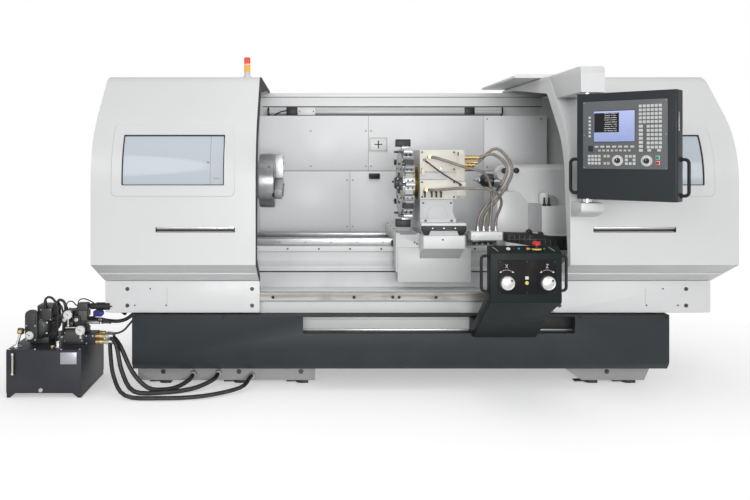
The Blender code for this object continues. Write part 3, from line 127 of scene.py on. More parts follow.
class Wire:
    """A value, colour or vector on its way through a finish."""

    def __init__(self, finish, socket):
        self.finish = finish
        self.socket = socket

    def maths(self, operation, *values):
        return self.finish.node("ShaderNodeMath", {"operation": operation}, dict(enumerate(values)))

    __add__ = __radd__ = step("ADD")
    __sub__ = step("SUBTRACT")
    __rsub__ = step("SUBTRACT", True)
    __mul__ = __rmul__ = step("MULTIPLY")
    __pow__ = step("POWER")
    __gt__ = step("GREATER_THAN")
    __lt__ = step("LESS_THAN")

    def sine(self):
        return self.maths("SINE", self)

    def part(self):
        return self.maths("FRACT", self)

    def held(self, low=0.0, high=1.0):
        return self.maths("MINIMUM", self.maths("MAXIMUM", self, low), high)


class Finish:
    """One surface finish, wired from nodes round its shader."""

    def __init__(self, name, rough=0.5, metal=0.0, **fixed):
        self.material = bpy.data.materials.new(name)
        self.material.use_nodes = True
        self.tree = self.material.node_tree
        self.shader = self.tree.nodes["Principled BSDF"]
        self.shader.inputs["Roughness"].default_value = rough
        self.shader.inputs["Metallic"].default_value = metal
        for key, value in fixed.items():
            self.shader.inputs[key.replace("_", " ")].default_value = value

    def node(self, kind, settings=None, values=None, out=0):
        made = self.tree.nodes.new(kind)
        for key, value in (settings or {}).items():
            setattr(made, key, value)
        for key, value in (values or {}).items():
            self.feed(made.inputs[key], value)
        return Wire(self, made.outputs[out])

    def feed(self, socket, value):
        if isinstance(value, Wire):
            self.tree.links.new(value.socket, socket)
        elif hasattr(value, "__len__") and socket.type == "RGBA" and len(value) == 3:
            socket.default_value = (*value, 1.0)
        else:
            socket.default_value = value

    def place(self, scale=(1, 1, 1)):
        where = self.node("ShaderNodeTexCoord", out="Object")
        return self.node("ShaderNodeMapping", None, {"Vector": where, "Scale": scale})

    def along(self):
        return self.node("ShaderNodeTexCoord", out="UV")

    def axes(self, where=None):
        where = where or self.place()
        return [self.node("ShaderNodeSeparateXYZ", None, {0: where}, out=k) for k in range(3)]

    def noise(self, scale, detail=3.0, where=None, stretch=(1, 1, 1)):
        return self.node("ShaderNodeTexNoise", None,
            {"Vector": where or self.place(stretch), "Scale": scale, "Detail": detail, "Roughness": 0.55})

    def mixed(self, a, b, share):
        return self.node("ShaderNodeMix", {"data_type": "RGBA"}, {"Factor": share, 6: a, 7: b}, out=2)

    def span(self, value, low, high):
        return self.node("ShaderNodeMapRange", None, {"Value": value, "From Min": low, "From Max": high})

    def set(self, colour=None, rough=None, metal=None, coat=None, alpha=None, glow=None):
        for key, value in (("Base Color", colour), ("Roughness", rough), ("Metallic", metal),
                ("Coat Weight", coat), ("Alpha", alpha), ("Emission Color", glow)):
            if value is not None:
                self.feed(self.shader.inputs[key], value)

    def relief(self, height, depth, strength=0.6):
        self.feed(self.shader.inputs["Normal"],
            self.node("ShaderNodeBump", None, {"Height": height, "Distance": depth, "Strength": strength}))


def shade(colour, k):
    return tuple(min(1.0, c * k) for c in colour)


def sprayed(name, colour, rough, grain, depth, drift=0.05, grime=(0.45, 0.42, 0.38), coat=0.15, shine=0.5):
    # Sprayed enamel: slow drift of shade, orange peel, handling smears and a little dust low down.
    f = Finish(name, rough, Coat_Roughness=0.25, Specular_IOR_Level=shine)
    drifted = f.mixed(shade(colour, 1 - drift), shade(colour, 1 + drift * 0.5), f.noise(1.3, 4.0))
    smears = f.span(f.noise(9.0, 6.0, stretch=(1, 1, 0.35)), 0.56, 0.8)
    height = f.axes()[2]
    low = f.span(height, 0.45, 0.0) * f.span(f.noise(5.0, 5.0), 0.35, 0.75)
    dirt = (smears * 0.05 + low * 0.22).held()
    f.set(colour=f.mixed(drifted, grime, dirt),
        rough=(rough + smears * 0.12 + (f.noise(60.0, 2.0) - 0.5) * 0.08).held(0.05, 1.0),
        coat=(coat - smears * 0.1).held())
    f.relief(f.noise(grain, 2.0), depth, 0.35)
    return f


def cast(name, colour, rough=0.5):
    # Painted casting: pitted, uneven, darker in its hollows.
    f = Finish(name, rough)
    rough_sand = f.noise(240.0, 5.0)
    stain = f.span(f.noise(3.5, 6.0), 0.5, 0.75)
    f.set(colour=f.mixed(f.mixed(shade(colour, 0.93), shade(colour, 1.04), f.noise(2.0)),
        shade(colour, 0.55), stain * 0.25),
        rough=(rough + (rough_sand - 0.5) * 0.25 + stain * 0.1).held(0.1, 1.0))
    f.relief(rough_sand, 0.0008, 0.5)
    return f


def brushed(name, colour, rough, stretch, scale=1.0, stain=0.2):
    # Metal with drawn or ground lines: the stretch is small along the lines.
    f = Finish(name, rough, 1.0)
    lines = f.noise(420.0 * scale, 4.0, stretch=stretch)
    spots = f.span(f.noise(7.0, 6.0), 0.52, 0.78)
    f.set(colour=f.mixed(f.mixed(shade(colour, 0.85), shade(colour, 1.12), lines), shade(colour, 0.45),
        spots * stain), rough=(rough + (lines - 0.5) * 0.22 + spots * 0.15).held(0.06, 1.0))
    f.relief(lines, 0.00025, 0.35)
    return f


def turned_metal(name, colour, rough, centre_y, centre_z, pitch=900.0):
    # Metal turned about the spindle line: fine rings on faces.
    f = Finish(name, rough, 1.0)
    x, y, z = f.axes()
    dy = y - (centre_y - MID_Y)
    dz = z - centre_z
    radius = (dy * dy + dz * dz) ** 0.5
    rings = ((radius + x * 4.0) * pitch).sine() * 0.5 + 0.5
    spots = f.span(f.noise(16.0, 5.0), 0.5, 0.75)
    f.set(colour=f.mixed(f.mixed(shade(colour, 0.86), shade(colour, 1.1),
        rings * 0.6 + f.noise(30.0) * 0.4), shade(colour, 0.4), spots * 0.3),
        rough=(rough + (rings - 0.5) * 0.12 + spots * 0.18).held(0.06, 1.0))
    f.relief(rings, 0.00012, 0.3)
    return f


def moulded(name, colour, rough=0.5, grain=700.0, depth=0.0003, drift=0.12, shine=0.35):
    # Moulded plastic or rubber: fine leather grain and rubbed places.
    f = Finish(name, rough, Specular_IOR_Level=shine)
    rubbed = f.span(f.noise(11.0, 5.0), 0.52, 0.8)
    fine = f.noise(grain, 3.0)
    f.set(colour=f.mixed(f.mixed(shade(colour, 1 - drift), shade(colour, 1 + drift), f.noise(25.0)),
        (0.32, 0.32, 0.31), rubbed * 0.07), rough=(rough + (fine - 0.5) * 0.2 - rubbed * 0.12).held(0.08,
        1.0))
    f.relief(fine, depth, 0.5)
    return f


def braided(name, colour):
    # Woven steel sleeve over a hose: two sets of strands cross along the hose's own length.
    f = Finish(name, 0.38, 0.7)
    u, v = f.axes(f.along())[:2]
    left = ((u * 8.0 + v * 150.0) * TAU).sine()
    right = ((u * 8.0 - v * 150.0) * TAU).sine()
    weave = (left * right * 0.5 + 0.5).held()
    dirt = f.span(f.noise(22.0, 5.0), 0.45, 0.75)
    f.set(colour=f.mixed(f.mixed(shade(colour, 0.35), shade(colour, 1.25), weave), (0.1, 0.08, 0.06),
        dirt * 0.5), rough=(0.5 - weave * 0.2 + dirt * 0.2).held())
    f.relief(weave, 0.0009, 0.7)
    return f


def hose_rubber(name):
    # Wrapped rubber hose: faint ribs along its length and floor dust.
    f = Finish(name, 0.45)
    u, v = f.axes(f.along())[:2]
    ribs = (v * 900.0 * TAU).sine() * 0.5 + 0.5
    dust = f.span(f.noise(18.0, 5.0), 0.45, 0.8)
    f.set(colour=f.mixed((0.012, 0.012, 0.013), (0.09, 0.085, 0.08), dust * 0.5 + ribs * 0.1),
        rough=(0.36 + dust * 0.3 + ribs * 0.05).held())
    f.relief(ribs, 0.0002, 0.3)
    return f


def glazed(name, colour, see):
    # Thin polycarbonate sheet with faint smears: only the share see of what lies behind shows through, and
    # its pale tint is painted reflection standing in for the light on and through the pane.
    f = Finish(name, 0.08, 0.0, IOR=1.49)
    smears = f.span(f.noise(6.0, 6.0, stretch=(1, 1, 0.3)), 0.45, 0.8)
    f.set(colour=f.mixed(colour, shade(colour, 0.92), smears), rough=0.06 + smears * 0.12,
        alpha=(1 - see + smears * 0.06).held())
    return f


def lit(name, colour, strength):
    # Lamp or indicator face; the oil sight tube also takes this glow, which there is painted light.
    f = Finish(name, 0.3, Emission_Strength=strength)
    f.set(colour=f.mixed(shade(colour, 0.9), colour, f.noise(60.0)),
        glow=f.mixed(shade(colour, 0.9), colour, f.noise(120.0)))
    return f


WHITE = sprayed("white_enamel", (0.735, 0.74, 0.745), 0.34, 850.0, 0.0004, 0.03)
# Inner white is a lighter copy of the white enamel: painted light that lifts faces lying in shade inside
# the guard, chiefly the rear wall
INNER_WHITE_LIFTED = sprayed("inner_white_lifted_for_shade", (0.77, 0.78, 0.79), 0.42, 700.0, 0.0004, 0.04)
SLATE = sprayed("slate_enamel", (0.022, 0.028, 0.032), 0.46, 1100.0, 0.0007, 0.1, (0.1, 0.095, 0.09), 0.04,
    0.3)
CASE = sprayed("case_enamel", (0.007, 0.012, 0.0135), 0.48, 1500.0, 0.0006, 0.08, (0.06, 0.06, 0.06), 0.03,
    0.18)
CARRIAGE = sprayed("carriage_enamel", (0.6, 0.605, 0.61), 0.4, 800.0, 0.0004, 0.04)
RAIL = brushed("rail_sheet", (0.35, 0.34, 0.325), 0.56, (0.02, 1, 1), 0.8, 0.12)
# Foot enamel is darker than the feet's paint: painted shade for the feet, which stand back under the tray's
# overhang
FOOT_SHADED_PAINT = sprayed("foot_enamel_painted_shade", (0.34, 0.34, 0.345), 0.42, 700.0, 0.0005, 0.06)
CASTING = cast("light_grey_casting", (0.6, 0.61, 0.62), 0.45)
CREAM = cast("cream_enamel", (0.74, 0.71, 0.63), 0.38)
# Lighter copy of the grey casting: painted light that lifts the bed and tailstock, which sit in shade
# inside the guard
CAST_LIGHTENED_FOR_SHADE = cast("casting_lightened_for_shade", (0.7, 0.71, 0.715), 0.42)

TURNED = turned_metal("turned_steel", (0.47, 0.48, 0.49), 0.3, 0.75, 1.216)
OILED = brushed("oiled_black_steel", (0.085, 0.085, 0.09), 0.34, (1, 0.2, 1), 0.6, 0.4)
SHEET = brushed("stainless_sheet", (0.56, 0.56, 0.55), 0.28, (0.02, 1, 1), 0.8, 0.12)
ZINC = brushed("zinc_screws", (0.5, 0.51, 0.52), 0.3, (1, 1, 1), 1.5, 0.3)
CHROME = brushed("chrome_plate", (0.7, 0.71, 0.72), 0.18, (1, 1, 0.4), 0.5, 0.1)
BLACK = moulded("black_moulding", (0.018, 0.018, 0.02), 0.42)
RUBBER = moulded("black_rubber", (0.014, 0.014, 0.014), 0.62, 450.0, 0.0004)
# Window glass nearly opaque: its pale tint is painted reflection for the light on and through the pane
GLASS_PAINTED_REFLECTION = glazed("window_glass", (0.6, 0.665, 0.72), 0.08)
PLATE = moulded("grey_panel_plate", (0.135, 0.145, 0.155), 0.4, 1200.0, 0.00015, 0.06)
RED = moulded("red_plastic", (0.62, 0.025, 0.02), 0.28, 300.0, 0.0001, 0.05)
AMBER = lit("amber_lens", (0.95, 0.42, 0.04), 0.15)
BRAID = braided("braided_hose", (0.38, 0.345, 0.3))
HOSE = hose_rubber("floor_hose_rubber")
KNOB = turned_metal("aluminium_knob", (0.62, 0.62, 0.61), 0.36, -0.2, 0.713, 2600.0)
TANK = sprayed("tank_enamel", (0.021, 0.024, 0.033), 0.42, 900.0, 0.0006, 0.1, (0.1, 0.095, 0.09), 0.05,
    0.3)
BRASS = brushed("brass_block", (0.62, 0.46, 0.2), 0.28, (1, 1, 1), 1.0, 0.35)

by_slot = {"white_paint": WHITE, "slate_paint": SLATE, "grey_casting": CASTING, "cream_paint": CREAM,
    "machined_steel": TURNED, "dark_steel": OILED, "stainless_sheet": SHEET, "black_plastic": BLACK,
    "black_rubber": RUBBER, "window_glass": GLASS_PAINTED_REFLECTION, "panel_face": PLATE, "red_plastic": RED,
    "lamp_lens": AMBER, "steel_braid": BRAID, "aluminium_knob": KNOB, "tank_paint": TANK,
    "brass_block": BRASS}
slot_of = {row["node"]: row["material_slot"] for row in frame["record"]["subparts"]}
for node, slot in slot_of.items():
    shown = frame["nodes"][node].data.materials
    shown.clear()
    shown.append(by_slot[slot].material)


# Shapes, each a closed body in the machine's own place

def paired(line):
    # A flat row of numbers is read two by two.
    return line if hasattr(line[0], "__len__") else list(zip(line[::2], line[1::2]))


def body_of(points, faces):
    shape = bmesh.new()
    made = [shape.verts.new(p) for p in points]
    for face in faces:
        shape.faces.new([made[k] for k in face])
    return shape


def bar(axis, outline, a0, a1):
    # The outline lies across the axis: 'x' takes (y, z), 'y' takes (x, z), 'z' takes (x, y).
    def spot(p, a):
        if axis == "x":
            return at(a, p[0], p[1])
        if axis == "y":
            return at(p[0], a, p[1])
        return at(p[0], p[1], a)

    outline = paired(outline)
    n = len(outline)
    points = [spot(p, a0) for p in outline] + [spot(p, a1) for p in outline]
    faces = [list(range(n)), list(range(n, 2 * n))]
    faces += [(k, (k + 1) % n, n + (k + 1) % n, n + k) for k in range(n)]
    return body_of(points, faces)


def slab(x0, x1, y0, y1, z0, z1):
    return bar("z", [x0, y0, x1, y0, x1, y1, x0, y1], z0, z1)


def round_box(u0, u1, v0, v1, r, steps=4):
    points = []
    for cu, cv, a in ((u1 - r, v0 + r, -90), (u1 - r, v1 - r, 0), (u0 + r, v1 - r, 90),
            (u0 + r, v0 + r, 180)):
        for k in range(steps + 1):
            t = radians(a + 90 * k / steps)
            points.append((cu + r * cos(t), cv + r * sin(t)))
    return points


def disc_line(u, v, r, sides=20, phase=0.0):
    return [(u + r * cos(phase + TAU * k / sides),
        v + r * sin(phase + TAU * k / sides)) for k in range(sides)]


def toothed(u, v, radii, count):
    # Closed line round a middle whose points take the radii in turn.
    return [(u + radii[k % len(radii)] * cos(TAU * k / count),
        v + radii[k % len(radii)] * sin(TAU * k / count)) for k in range(count)]


def lathed(axis, centre, profile, sides):
    # The profile lists (along, radius); both ends are closed.
    points, rings = [], []
    for along, r in paired(profile):
        ring = []
        for u, v in (disc_line(*centre, r, sides) if r > 1e-6 else [centre]):
            ring.append(len(points))
            if axis == "x":
                points.append(at(along, u, v))
            elif axis == "y":
                points.append(at(u, along, v))
            else:
                points.append(at(u, v, along))
        rings.append(ring)
    faces = []
    for r0, r1 in zip(rings, rings[1:]):
        for k in range(sides):
            j = (k + 1) % sides
            if len(r0) == 1:
                faces.append((r0[0], r1[j], r1[k]))
            elif len(r1) == 1:
                faces.append((r0[k], r0[j], r1[0]))
            else:
                faces.append((r0[k], r0[j], r1[j], r1[k]))
    faces += [ring for ring in (rings[0], rings[-1]) if len(ring) > 1]
    return body_of(points, faces)


def soft_run(keys, per=6):
    # Rounded run through the given places.
    pts = [Vector(k) for k in keys]
    ext = [pts[0] * 2 - pts[1]] + pts + [pts[-1] * 2 - pts[-2]]
    out = []
    for i in range(1, len(ext) - 2):
        p0, p1, p2, p3 = ext[i - 1], ext[i], ext[i + 1], ext[i + 2]
        for k in range(per):
            t = k / per
            a = p1 * 2
            b = (p2 - p0) * t
            c = (p0 * 2 - p1 * 5 + p2 * 4 - p3) * (t * t)
            d = (p1 * 3 - p0 - p2 * 3 + p3) * (t * t * t)
            out.append((a + b + c + d) * 0.5)
    out.append(pts[-1])
    return out


def swept(run, radius, sides=12):
    # Tube along a run of world places, with its length in the second texture direction.
    run = [Vector(p) for p in run]
    ends = [run[0]] + run + [run[-1]]
    shape = bmesh.new()
    sheet = shape.loops.layers.uv.new("UVMap")
    side = None
    rings, lengths, gone = [], [], 0.0
    for k, p in enumerate(run):
        along = (ends[k + 2] - ends[k]).normalized()
        if side is None:
            side = along.orthogonal().normalized()
        side = (side - along * side.dot(along)).normalized()
        over = along.cross(side)

        rings.append([shape.verts.new(p + (side * cos(TAU * j / sides) + over * sin(
            TAU * j / sides)) * radius) for j in range(sides)])
        if k:
            gone += (p - run[k - 1]).length
        lengths.append(gone)
    for k in range(len(rings) - 1):
        for j in range(sides):
            i = (j + 1) % sides
            face = shape.faces.new((rings[k][j], rings[k][i], rings[k + 1][i], rings[k + 1][j]))
            for loop, uv in zip(face.loops, ((j, k), (j + 1, k), (j + 1, k + 1), (j, k + 1))):
                loop[sheet].uv = (uv[0] / sides, lengths[uv[1]])
    shape.faces.new(list(reversed(rings[0])))
    shape.faces.new(rings[-1])
    return shape


def beside(line, dist):
    # Each point of a (y, z) line moves to the right-hand side of the travel.
    out = []
    n = len(line)
    for i in range(n):
        p = Vector(line[i])
        ends = []
        if i > 0:
            t = (p - Vector(line[i - 1])).normalized()
            ends.append(Vector((t.y, -t.x)))
        if i < n - 1:
            t = (Vector(line[i + 1]) - p).normalized()
            ends.append(Vector((t.y, -t.x)))
        m = (ends[0] + ends[-1]).normalized()
        out.append(tuple(p + m * (dist / max(0.3, m.dot(ends[0])))))
    return out


def hood_line():
    a, shoulder, crown = radians(43.0), 20, 10
    pts = [(0.3, 0.64), (0.0, 0.775), (0.0, 1.235)]
    for k in range(1, shoulder + 1):
        t = a * k / shoulder
        pts.append((0.54 * (1 - cos(t)), 1.235 + 0.54 * sin(t)))
    top = 1.852 - 0.16 * (1 - sin(a))
    run = (top - pts[-1][1]) / cos(a)
    y0 = pts[-1][0] + run * sin(a)
    for k in range(crown + 1):
        t = a + (pi / 2 - a) * k / crown
        pts.append((y0 + 0.16 * (cos(a) - cos(t)), top + 0.16 * (sin(t) - sin(a))))
    return pts + [(1.15, 1.852), (1.47, 1.852)]


HOOD = hood_line()


def run_of(line):
    # Distance travelled at each point of a line.
    out = [0.0]
    for a, b in zip(line, line[1:]):
        out.append(out[-1] + hypot(b[0] - a[0], b[1] - a[1]))
    return out


def spot_on(line, z):
    # (y, distance travelled) on the front of a line at a height.
    runs = run_of(line)
    for k in range(len(line) - 1):
        a, b = line[k], line[k + 1]
        if a[1] - 1e-9 <= z <= b[1] + 1e-9 and b[1] > a[1]:
            t = (z - a[1]) / (b[1] - a[1])
            return a[0] + t * (b[0] - a[0]), runs[k] + t * (runs[k + 1] - runs[k])
    return line[-1][0], runs[-1]


def bent_sheet(line, x0, x1, holes, thick, raised=()):
    # Sheet bent along a (y, z) line; openings and pressed panels are (x0, x1, z0, z1, radius[, height]).
    runs = run_of(line)
    points, edges = [], []

    def loop_of(outline):
        first = len(points)
        points.extend(Vector(p) for p in outline)
        n = len(outline)
        edges.extend((first + k, first + (k + 1) % n) for k in range(n))

    loop_of([(x0, 0.0), (x1, 0.0), (x1, runs[-1]), (x0, runs[-1])])
    for s in runs[1:-1]:
        edges.append((len(points), len(points) + 1))
        points.extend((Vector((x0, s)), Vector((x1, s))))

    def on_sheet(box, grow=0.0):
        s0, s1 = spot_on(line, box[2])[1], spot_on(line, box[3])[1]
        return box[0] - grow, box[1] + grow, s0 - grow, s1 + grow, max(0.001, box[4] + grow)

    for box in holes:
        loop_of(round_box(*on_sheet(box), steps=5))
    for box in raised:
        loop_of(round_box(*on_sheet(box), steps=6))
        loop_of(round_box(*on_sheet(box, -0.006), steps=6))
    spots, _, triangles = geometry.delaunay_2d_cdt(points, edges, [], 0, 1e-6)[:3]

    def depth_in(p, u0, u1, v0, v1, r):
        # How far a place lies inside a round-cornered box.
        dx = max(abs(p[0] - (u0 + u1) / 2) - (u1 - u0) / 2 + r, 0)
        dy = max(abs(p[1] - (v0 + v1) / 2) - (v1 - v0) / 2 + r, 0)
        inner = max(abs(p[0] - (u0 + u1) / 2) - (u1 - u0) / 2 + r,
            abs(p[1] - (v0 + v1) / 2) - (v1 - v0) / 2 + r)
        return r - (hypot(dx, dy) + min(inner, 0.0))

    def place(p, off):
        k = 0
        while k < len(runs) - 2 and runs[k + 1] < p[1] - 1e-9:
            k += 1
        t = (p[1] - runs[k]) / (runs[k + 1] - runs[k])
        here = Vector(line[k]).lerp(Vector(line[k + 1]), t)
        over = side_of[k].lerp(side_of[k + 1], t).normalized()
        rise = sum(min(1.0, max(0.0, depth_in(p, *on_sheet(b)) / 0.006)) * b[5] for b in raised)
        here = here + over * (off - rise)
        return at(p[0], here.x, here.y)

    shifted = beside(line, 1.0)
    side_of = [(Vector(b) - Vector(a)).normalized() for a, b in zip(line, shifted)]
    shape = bmesh.new()
    outer = [shape.verts.new(place(p, 0.0)) for p in spots]
    inner = [shape.verts.new(place(p, thick)) for p in spots]
    count = {}
    for tri in triangles:
        mid = (spots[tri[0]] + spots[tri[1]] + spots[tri[2]]) / 3
        if any(depth_in(mid, *on_sheet(b)) > 0 for b in holes):
            continue
        shape.faces.new([outer[k] for k in tri])
        shape.faces.new([inner[k] for k in reversed(tri)])
        for a, b in ((tri[0], tri[1]), (tri[1], tri[2]), (tri[2], tri[0])):
            count.setdefault(frozenset((a, b)), []).append((a, b))
    for uses in count.values():
        if len(uses) == 1:
            a, b = uses[0]
            shape.faces.new((outer[b], outer[a], inner[a], inner[b]))
    loose = [v for v in shape.verts if not v.link_faces]
    bmesh.ops.delete(shape, geom=loose, context="VERTS")
    return shape


class Piece:
    """Shapes gathered into one finished piece, each with its own finish."""

    def __init__(self, name, turn=None):
        self.name = name
        self.turn = turn or Matrix.Identity(4)
        self.shape = bmesh.new()
        self.shape.loops.layers.uv.new("UVMap")
        self.finishes = []

    def take(self, shape, finish, soft=0.0, steps=2, turn=None):
        bmesh.ops.remove_doubles(shape, verts=shape.verts, dist=1e-6)
        bmesh.ops.recalc_face_normals(shape, faces=shape.faces)
        if soft:
            sharp = [e for e in shape.edges if len(e.link_faces) == 2 and e.calc_face_angle(0) > 0.5]
            bmesh.ops.bevel(shape, geom=sharp, offset=soft, segments=steps, profile=0.5, affect="EDGES",
                clamp_overlap=True)
        if finish not in self.finishes:
            self.finishes.append(finish)
        for face in shape.faces:
            face.material_index = self.finishes.index(finish)
            face.smooth = True
        shape.transform(self.turn @ turn if turn else self.turn)
        mesh = bpy.data.meshes.new("part")
        shape.to_mesh(mesh)
        shape.free()
        self.shape.from_mesh(mesh)
        bpy.data.meshes.remove(mesh)
        return self

    def done(self, body, *stands_for, slot=None, edge=32):
        mesh = bpy.data.meshes.new(self.name)
        self.shape.to_mesh(mesh)
        self.shape.free()
        for finish in self.finishes:
            mesh.materials.append(finish.material)
        mesh.set_sharp_from_angle(angle=radians(edge))
        piece = bpy.data.objects.new(self.name, mesh)
        show(piece)
        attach(piece, body)
        if stands_for:
            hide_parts(*stands_for)
        return piece


def taker(form, count):
    # A method that draws a form from its first values and takes it with the rest.
    return lambda piece, *values, **more: piece.take(form(*values[:count]), *values[count:], **more)


Piece.slab, Piece.bar = taker(slab, 6), taker(bar, 4)
Piece.lathed, Piece.tube = taker(lathed, 4), taker(swept, 3)


def eased(shape, offset, segments=2):
    # The shape with all its edges bevelled.
    bmesh.ops.bevel(shape, geom=list(shape.edges), offset=offset, segments=segments, profile=0.5,
        affect="EDGES")
    return shape


def spun(angle, axis="X", centre=(0, 0, 0)):
    c = at(*centre)
    return Matrix.Translation(c) @ Matrix.Rotation(angle, 4, axis) @ Matrix.Translation(-c)


# Repeats set out by node trees

def socket_of(sockets, name):
    return sockets[int(name) if name.isdigit() else name]


def tree_of(name, inputs, nodes, links):
    # Inputs as (name, kind), nodes as {name: (kind, settings)}, links as "node.outlet > node.inlet".
    tree = bpy.data.node_groups.new(name, "GeometryNodeTree")
    for label, kind in [("Geometry", "Geometry"), *inputs, ("Finish", "Material")]:
        tree.interface.new_socket(label, in_out="INPUT", socket_type="NodeSocket" + kind)
    tree.interface.new_socket("Geometry", in_out="OUTPUT", socket_type="NodeSocketGeometry")
    made = {}
    for key, (kind, settings) in {**nodes, "given": ("NodeGroupInput", {}),
            "result": ("NodeGroupOutput", {}), "put": ("GeometryNodeInstanceOnPoints", {}),
            "real": ("GeometryNodeRealizeInstances", {}), "coat": ("GeometryNodeSetMaterial", {})}.items():
        made[key] = tree.nodes.new(kind)
        for setting, value in settings.items():
            if str(setting).islower():
                setattr(made[key], setting, value)
            else:
                made[key].inputs[setting].default_value = value
    for line in links + ["put.Instances > real.Geometry", "real.Geometry > coat.Geometry",
            "given.Finish > coat.Material", "coat.Geometry > result.Geometry"]:
        (source, outlet), (target, inlet) = (end.split(".") for end in line.split(" > "))
        tree.links.new(socket_of(made[source].outputs, outlet), socket_of(made[target].inputs, inlet))
    return tree


# One pattern shape on every point, facing the way the point says, turned at random about its own axis
STUDS = tree_of("set_on_points", [("Pattern", "Object"), ("Size", "Float"), ("Seed", "Int"),
    ("Any Turn", "Float")],
    {"info": ("GeometryNodeObjectInfo", {}), "facing": ("GeometryNodeInputNamedAttribute",
    {"data_type": "FLOAT_VECTOR", "Name": "facing"}), "stand": ("FunctionNodeAlignRotationToVector",
    {"axis": "Z"}), "chance": ("FunctionNodeRandomValue", {}),
    "turn": ("FunctionNodeRotateRotation", {"rotation_space": "LOCAL"}),
    "angle": ("FunctionNodeAxisAngleToRotation", {"Axis": (0, 0, 1)})},
    ["given.Pattern > info.Object", "facing.Attribute > stand.Vector", "given.Any Turn > chance.3",
    "given.Seed > chance.Seed", "chance.1 > angle.Angle", "stand.Rotation > turn.Rotation",
    "angle.Rotation > turn.Rotate By", "given.Geometry > put.Points", "info.Geometry > put.Instance",
    "turn.Rotation > put.Rotation", "given.Size > put.Scale"])

# A field of equal keys: columns by rows of shallow blocks on a flat face
FIELD = tree_of("key_field", [("Columns", "Int"), ("Rows", "Int"), ("Across", "Float"), ("Up", "Float"),
    ("Key", "Vector")], {"grid": ("GeometryNodeMeshGrid", {}), "key": ("GeometryNodeMeshCube", {})},
    ["given.Columns > grid.Vertices X", "given.Rows > grid.Vertices Y", "given.Across > grid.Size X",
    "given.Up > grid.Size Y", "given.Key > key.Size", "grid.Mesh > put.Points", "key.Mesh > put.Instance"])

# One pattern shape repeated round the X axis through the origin
RING = tree_of("set_in_ring", [("Pattern", "Object"), ("Count", "Int"), ("First", "Float")],
    {"info": ("GeometryNodeObjectInfo", {}), "points": ("GeometryNodePoints", {}),
    "index": ("GeometryNodeInputIndex", {}), "share": ("ShaderNodeMath", {"operation": "DIVIDE"}),
    "angle": ("ShaderNodeMath", {"operation": "MULTIPLY_ADD", 1: TAU}),
    "turn": ("ShaderNodeCombineXYZ", {})}, ["given.Pattern > info.Object", "given.Count > points.Count",
    "index.Index > share.0", "given.Count > share.1", "share.0 > angle.0", "given.First > angle.2",
    "angle.0 > turn.X", "points.0 > put.Points", "info.Geometry > put.Instance", "turn.0 > put.Rotation"])


def grown(name, tree, host, values):
    # Runs a tree on a host mesh and returns the result as a plain shape.
    carrier = bpy.data.objects.new(name, host)
    show(carrier)
    step = carrier.modifiers.new("tree", "NODES")
    step.node_group = tree
    for item in tree.interface.items_tree:
        if item.in_out == "INPUT" and item.name in values:
            step[item.identifier] = values[item.name]
    seen = carrier.evaluated_get(bpy.context.evaluated_depsgraph_get())
    mesh = bpy.data.meshes.new_from_object(seen)
    carrier.modifiers.remove(step)
    bpy.data.objects.remove(carrier)
    shape = bmesh.new()
    shape.from_mesh(mesh)
    bpy.data.meshes.remove(mesh)
    return shape


def pattern_of(name, shape):
    mesh = bpy.data.meshes.new(name)
    bmesh.ops.recalc_face_normals(shape, faces=shape.faces)
    shape.to_mesh(mesh)
    shape.free()
    pattern = bpy.data.objects.new(name, mesh)
    pattern.hide_render = True
    return pattern


def socket_screw():
    points, faces = [], []
    for radius, z in ((1.0, 0.0), (1.0, 0.55), (0.88, 0.68), (0.45, 0.68), (0.45, 0.25)):
        points += [Vector((u, v, z)) for u, v in disc_line(0, 0, radius, 18)]
    for n in range(0, 72, 18):
        for k in range(18):
            j = (k + 1) % 18
            faces.append((n + k, n + j, n + 18 + j, n + 18 + k))
    return pattern_of("socket_screw",
        body_of(points, faces + [list(range(17, -1, -1)), list(range(72, 90))]))


def hex_bolt():
    shape = bmesh.new()
    for radius, z0, z1, sides in ((1.4, 0.0, 0.16, 20), (1.0, 0.16, 0.75, 6)):
        low = [shape.verts.new((u, v, z0)) for u, v in disc_line(0, 0, radius, sides)]
        high = [shape.verts.new((u, v, z1)) for u, v in disc_line(0, 0, radius * 0.96, sides)]
        shape.faces.new(low)
        shape.faces.new(high)
        for k in range(sides):
            j = (k + 1) % sides
            shape.faces.new((low[k], low[j], high[j], high[k]))
    return pattern_of("hex_bolt", shape)


SOCKET = socket_screw()
HEXHEAD = hex_bolt()


def studs(piece, pattern, size, places, facing, finish, seed):
    # Sets screws or bolts on a piece at layout places, all facing one way.
    host = bpy.data.meshes.new("places")
    host.from_pydata([at(*p) for p in places], [], [])
    way = host.attributes.new("facing", "FLOAT_VECTOR", "POINT")
    for k in range(len(places)):
        way.data[k].vector = facing
    shape = grown("studs", STUDS, host, {"Pattern": pattern, "Size": size, "Seed": seed, "Any Turn": TAU,
        "Finish": finish.material})
    return piece.take(shape, finish)


def keys(piece, x, y, z, columns, rows, pitch_x, pitch_z, key, finish):
    # A block of keys on a face that looks to the front; x and z are its middle.
    shape = grown("keys", FIELD, bpy.data.meshes.new("none"),
        {"Columns": columns, "Rows": rows, "Across": pitch_x * (columns - 1), "Up": pitch_z * (rows - 1),
        "Key": key, "Finish": finish.material})
    shape.transform(Matrix.Translation(at(x, y, z)) @ Matrix.Rotation(pi / 2, 4, "X"))
    return piece.take(shape, finish, min(key) * 0.2, 1)


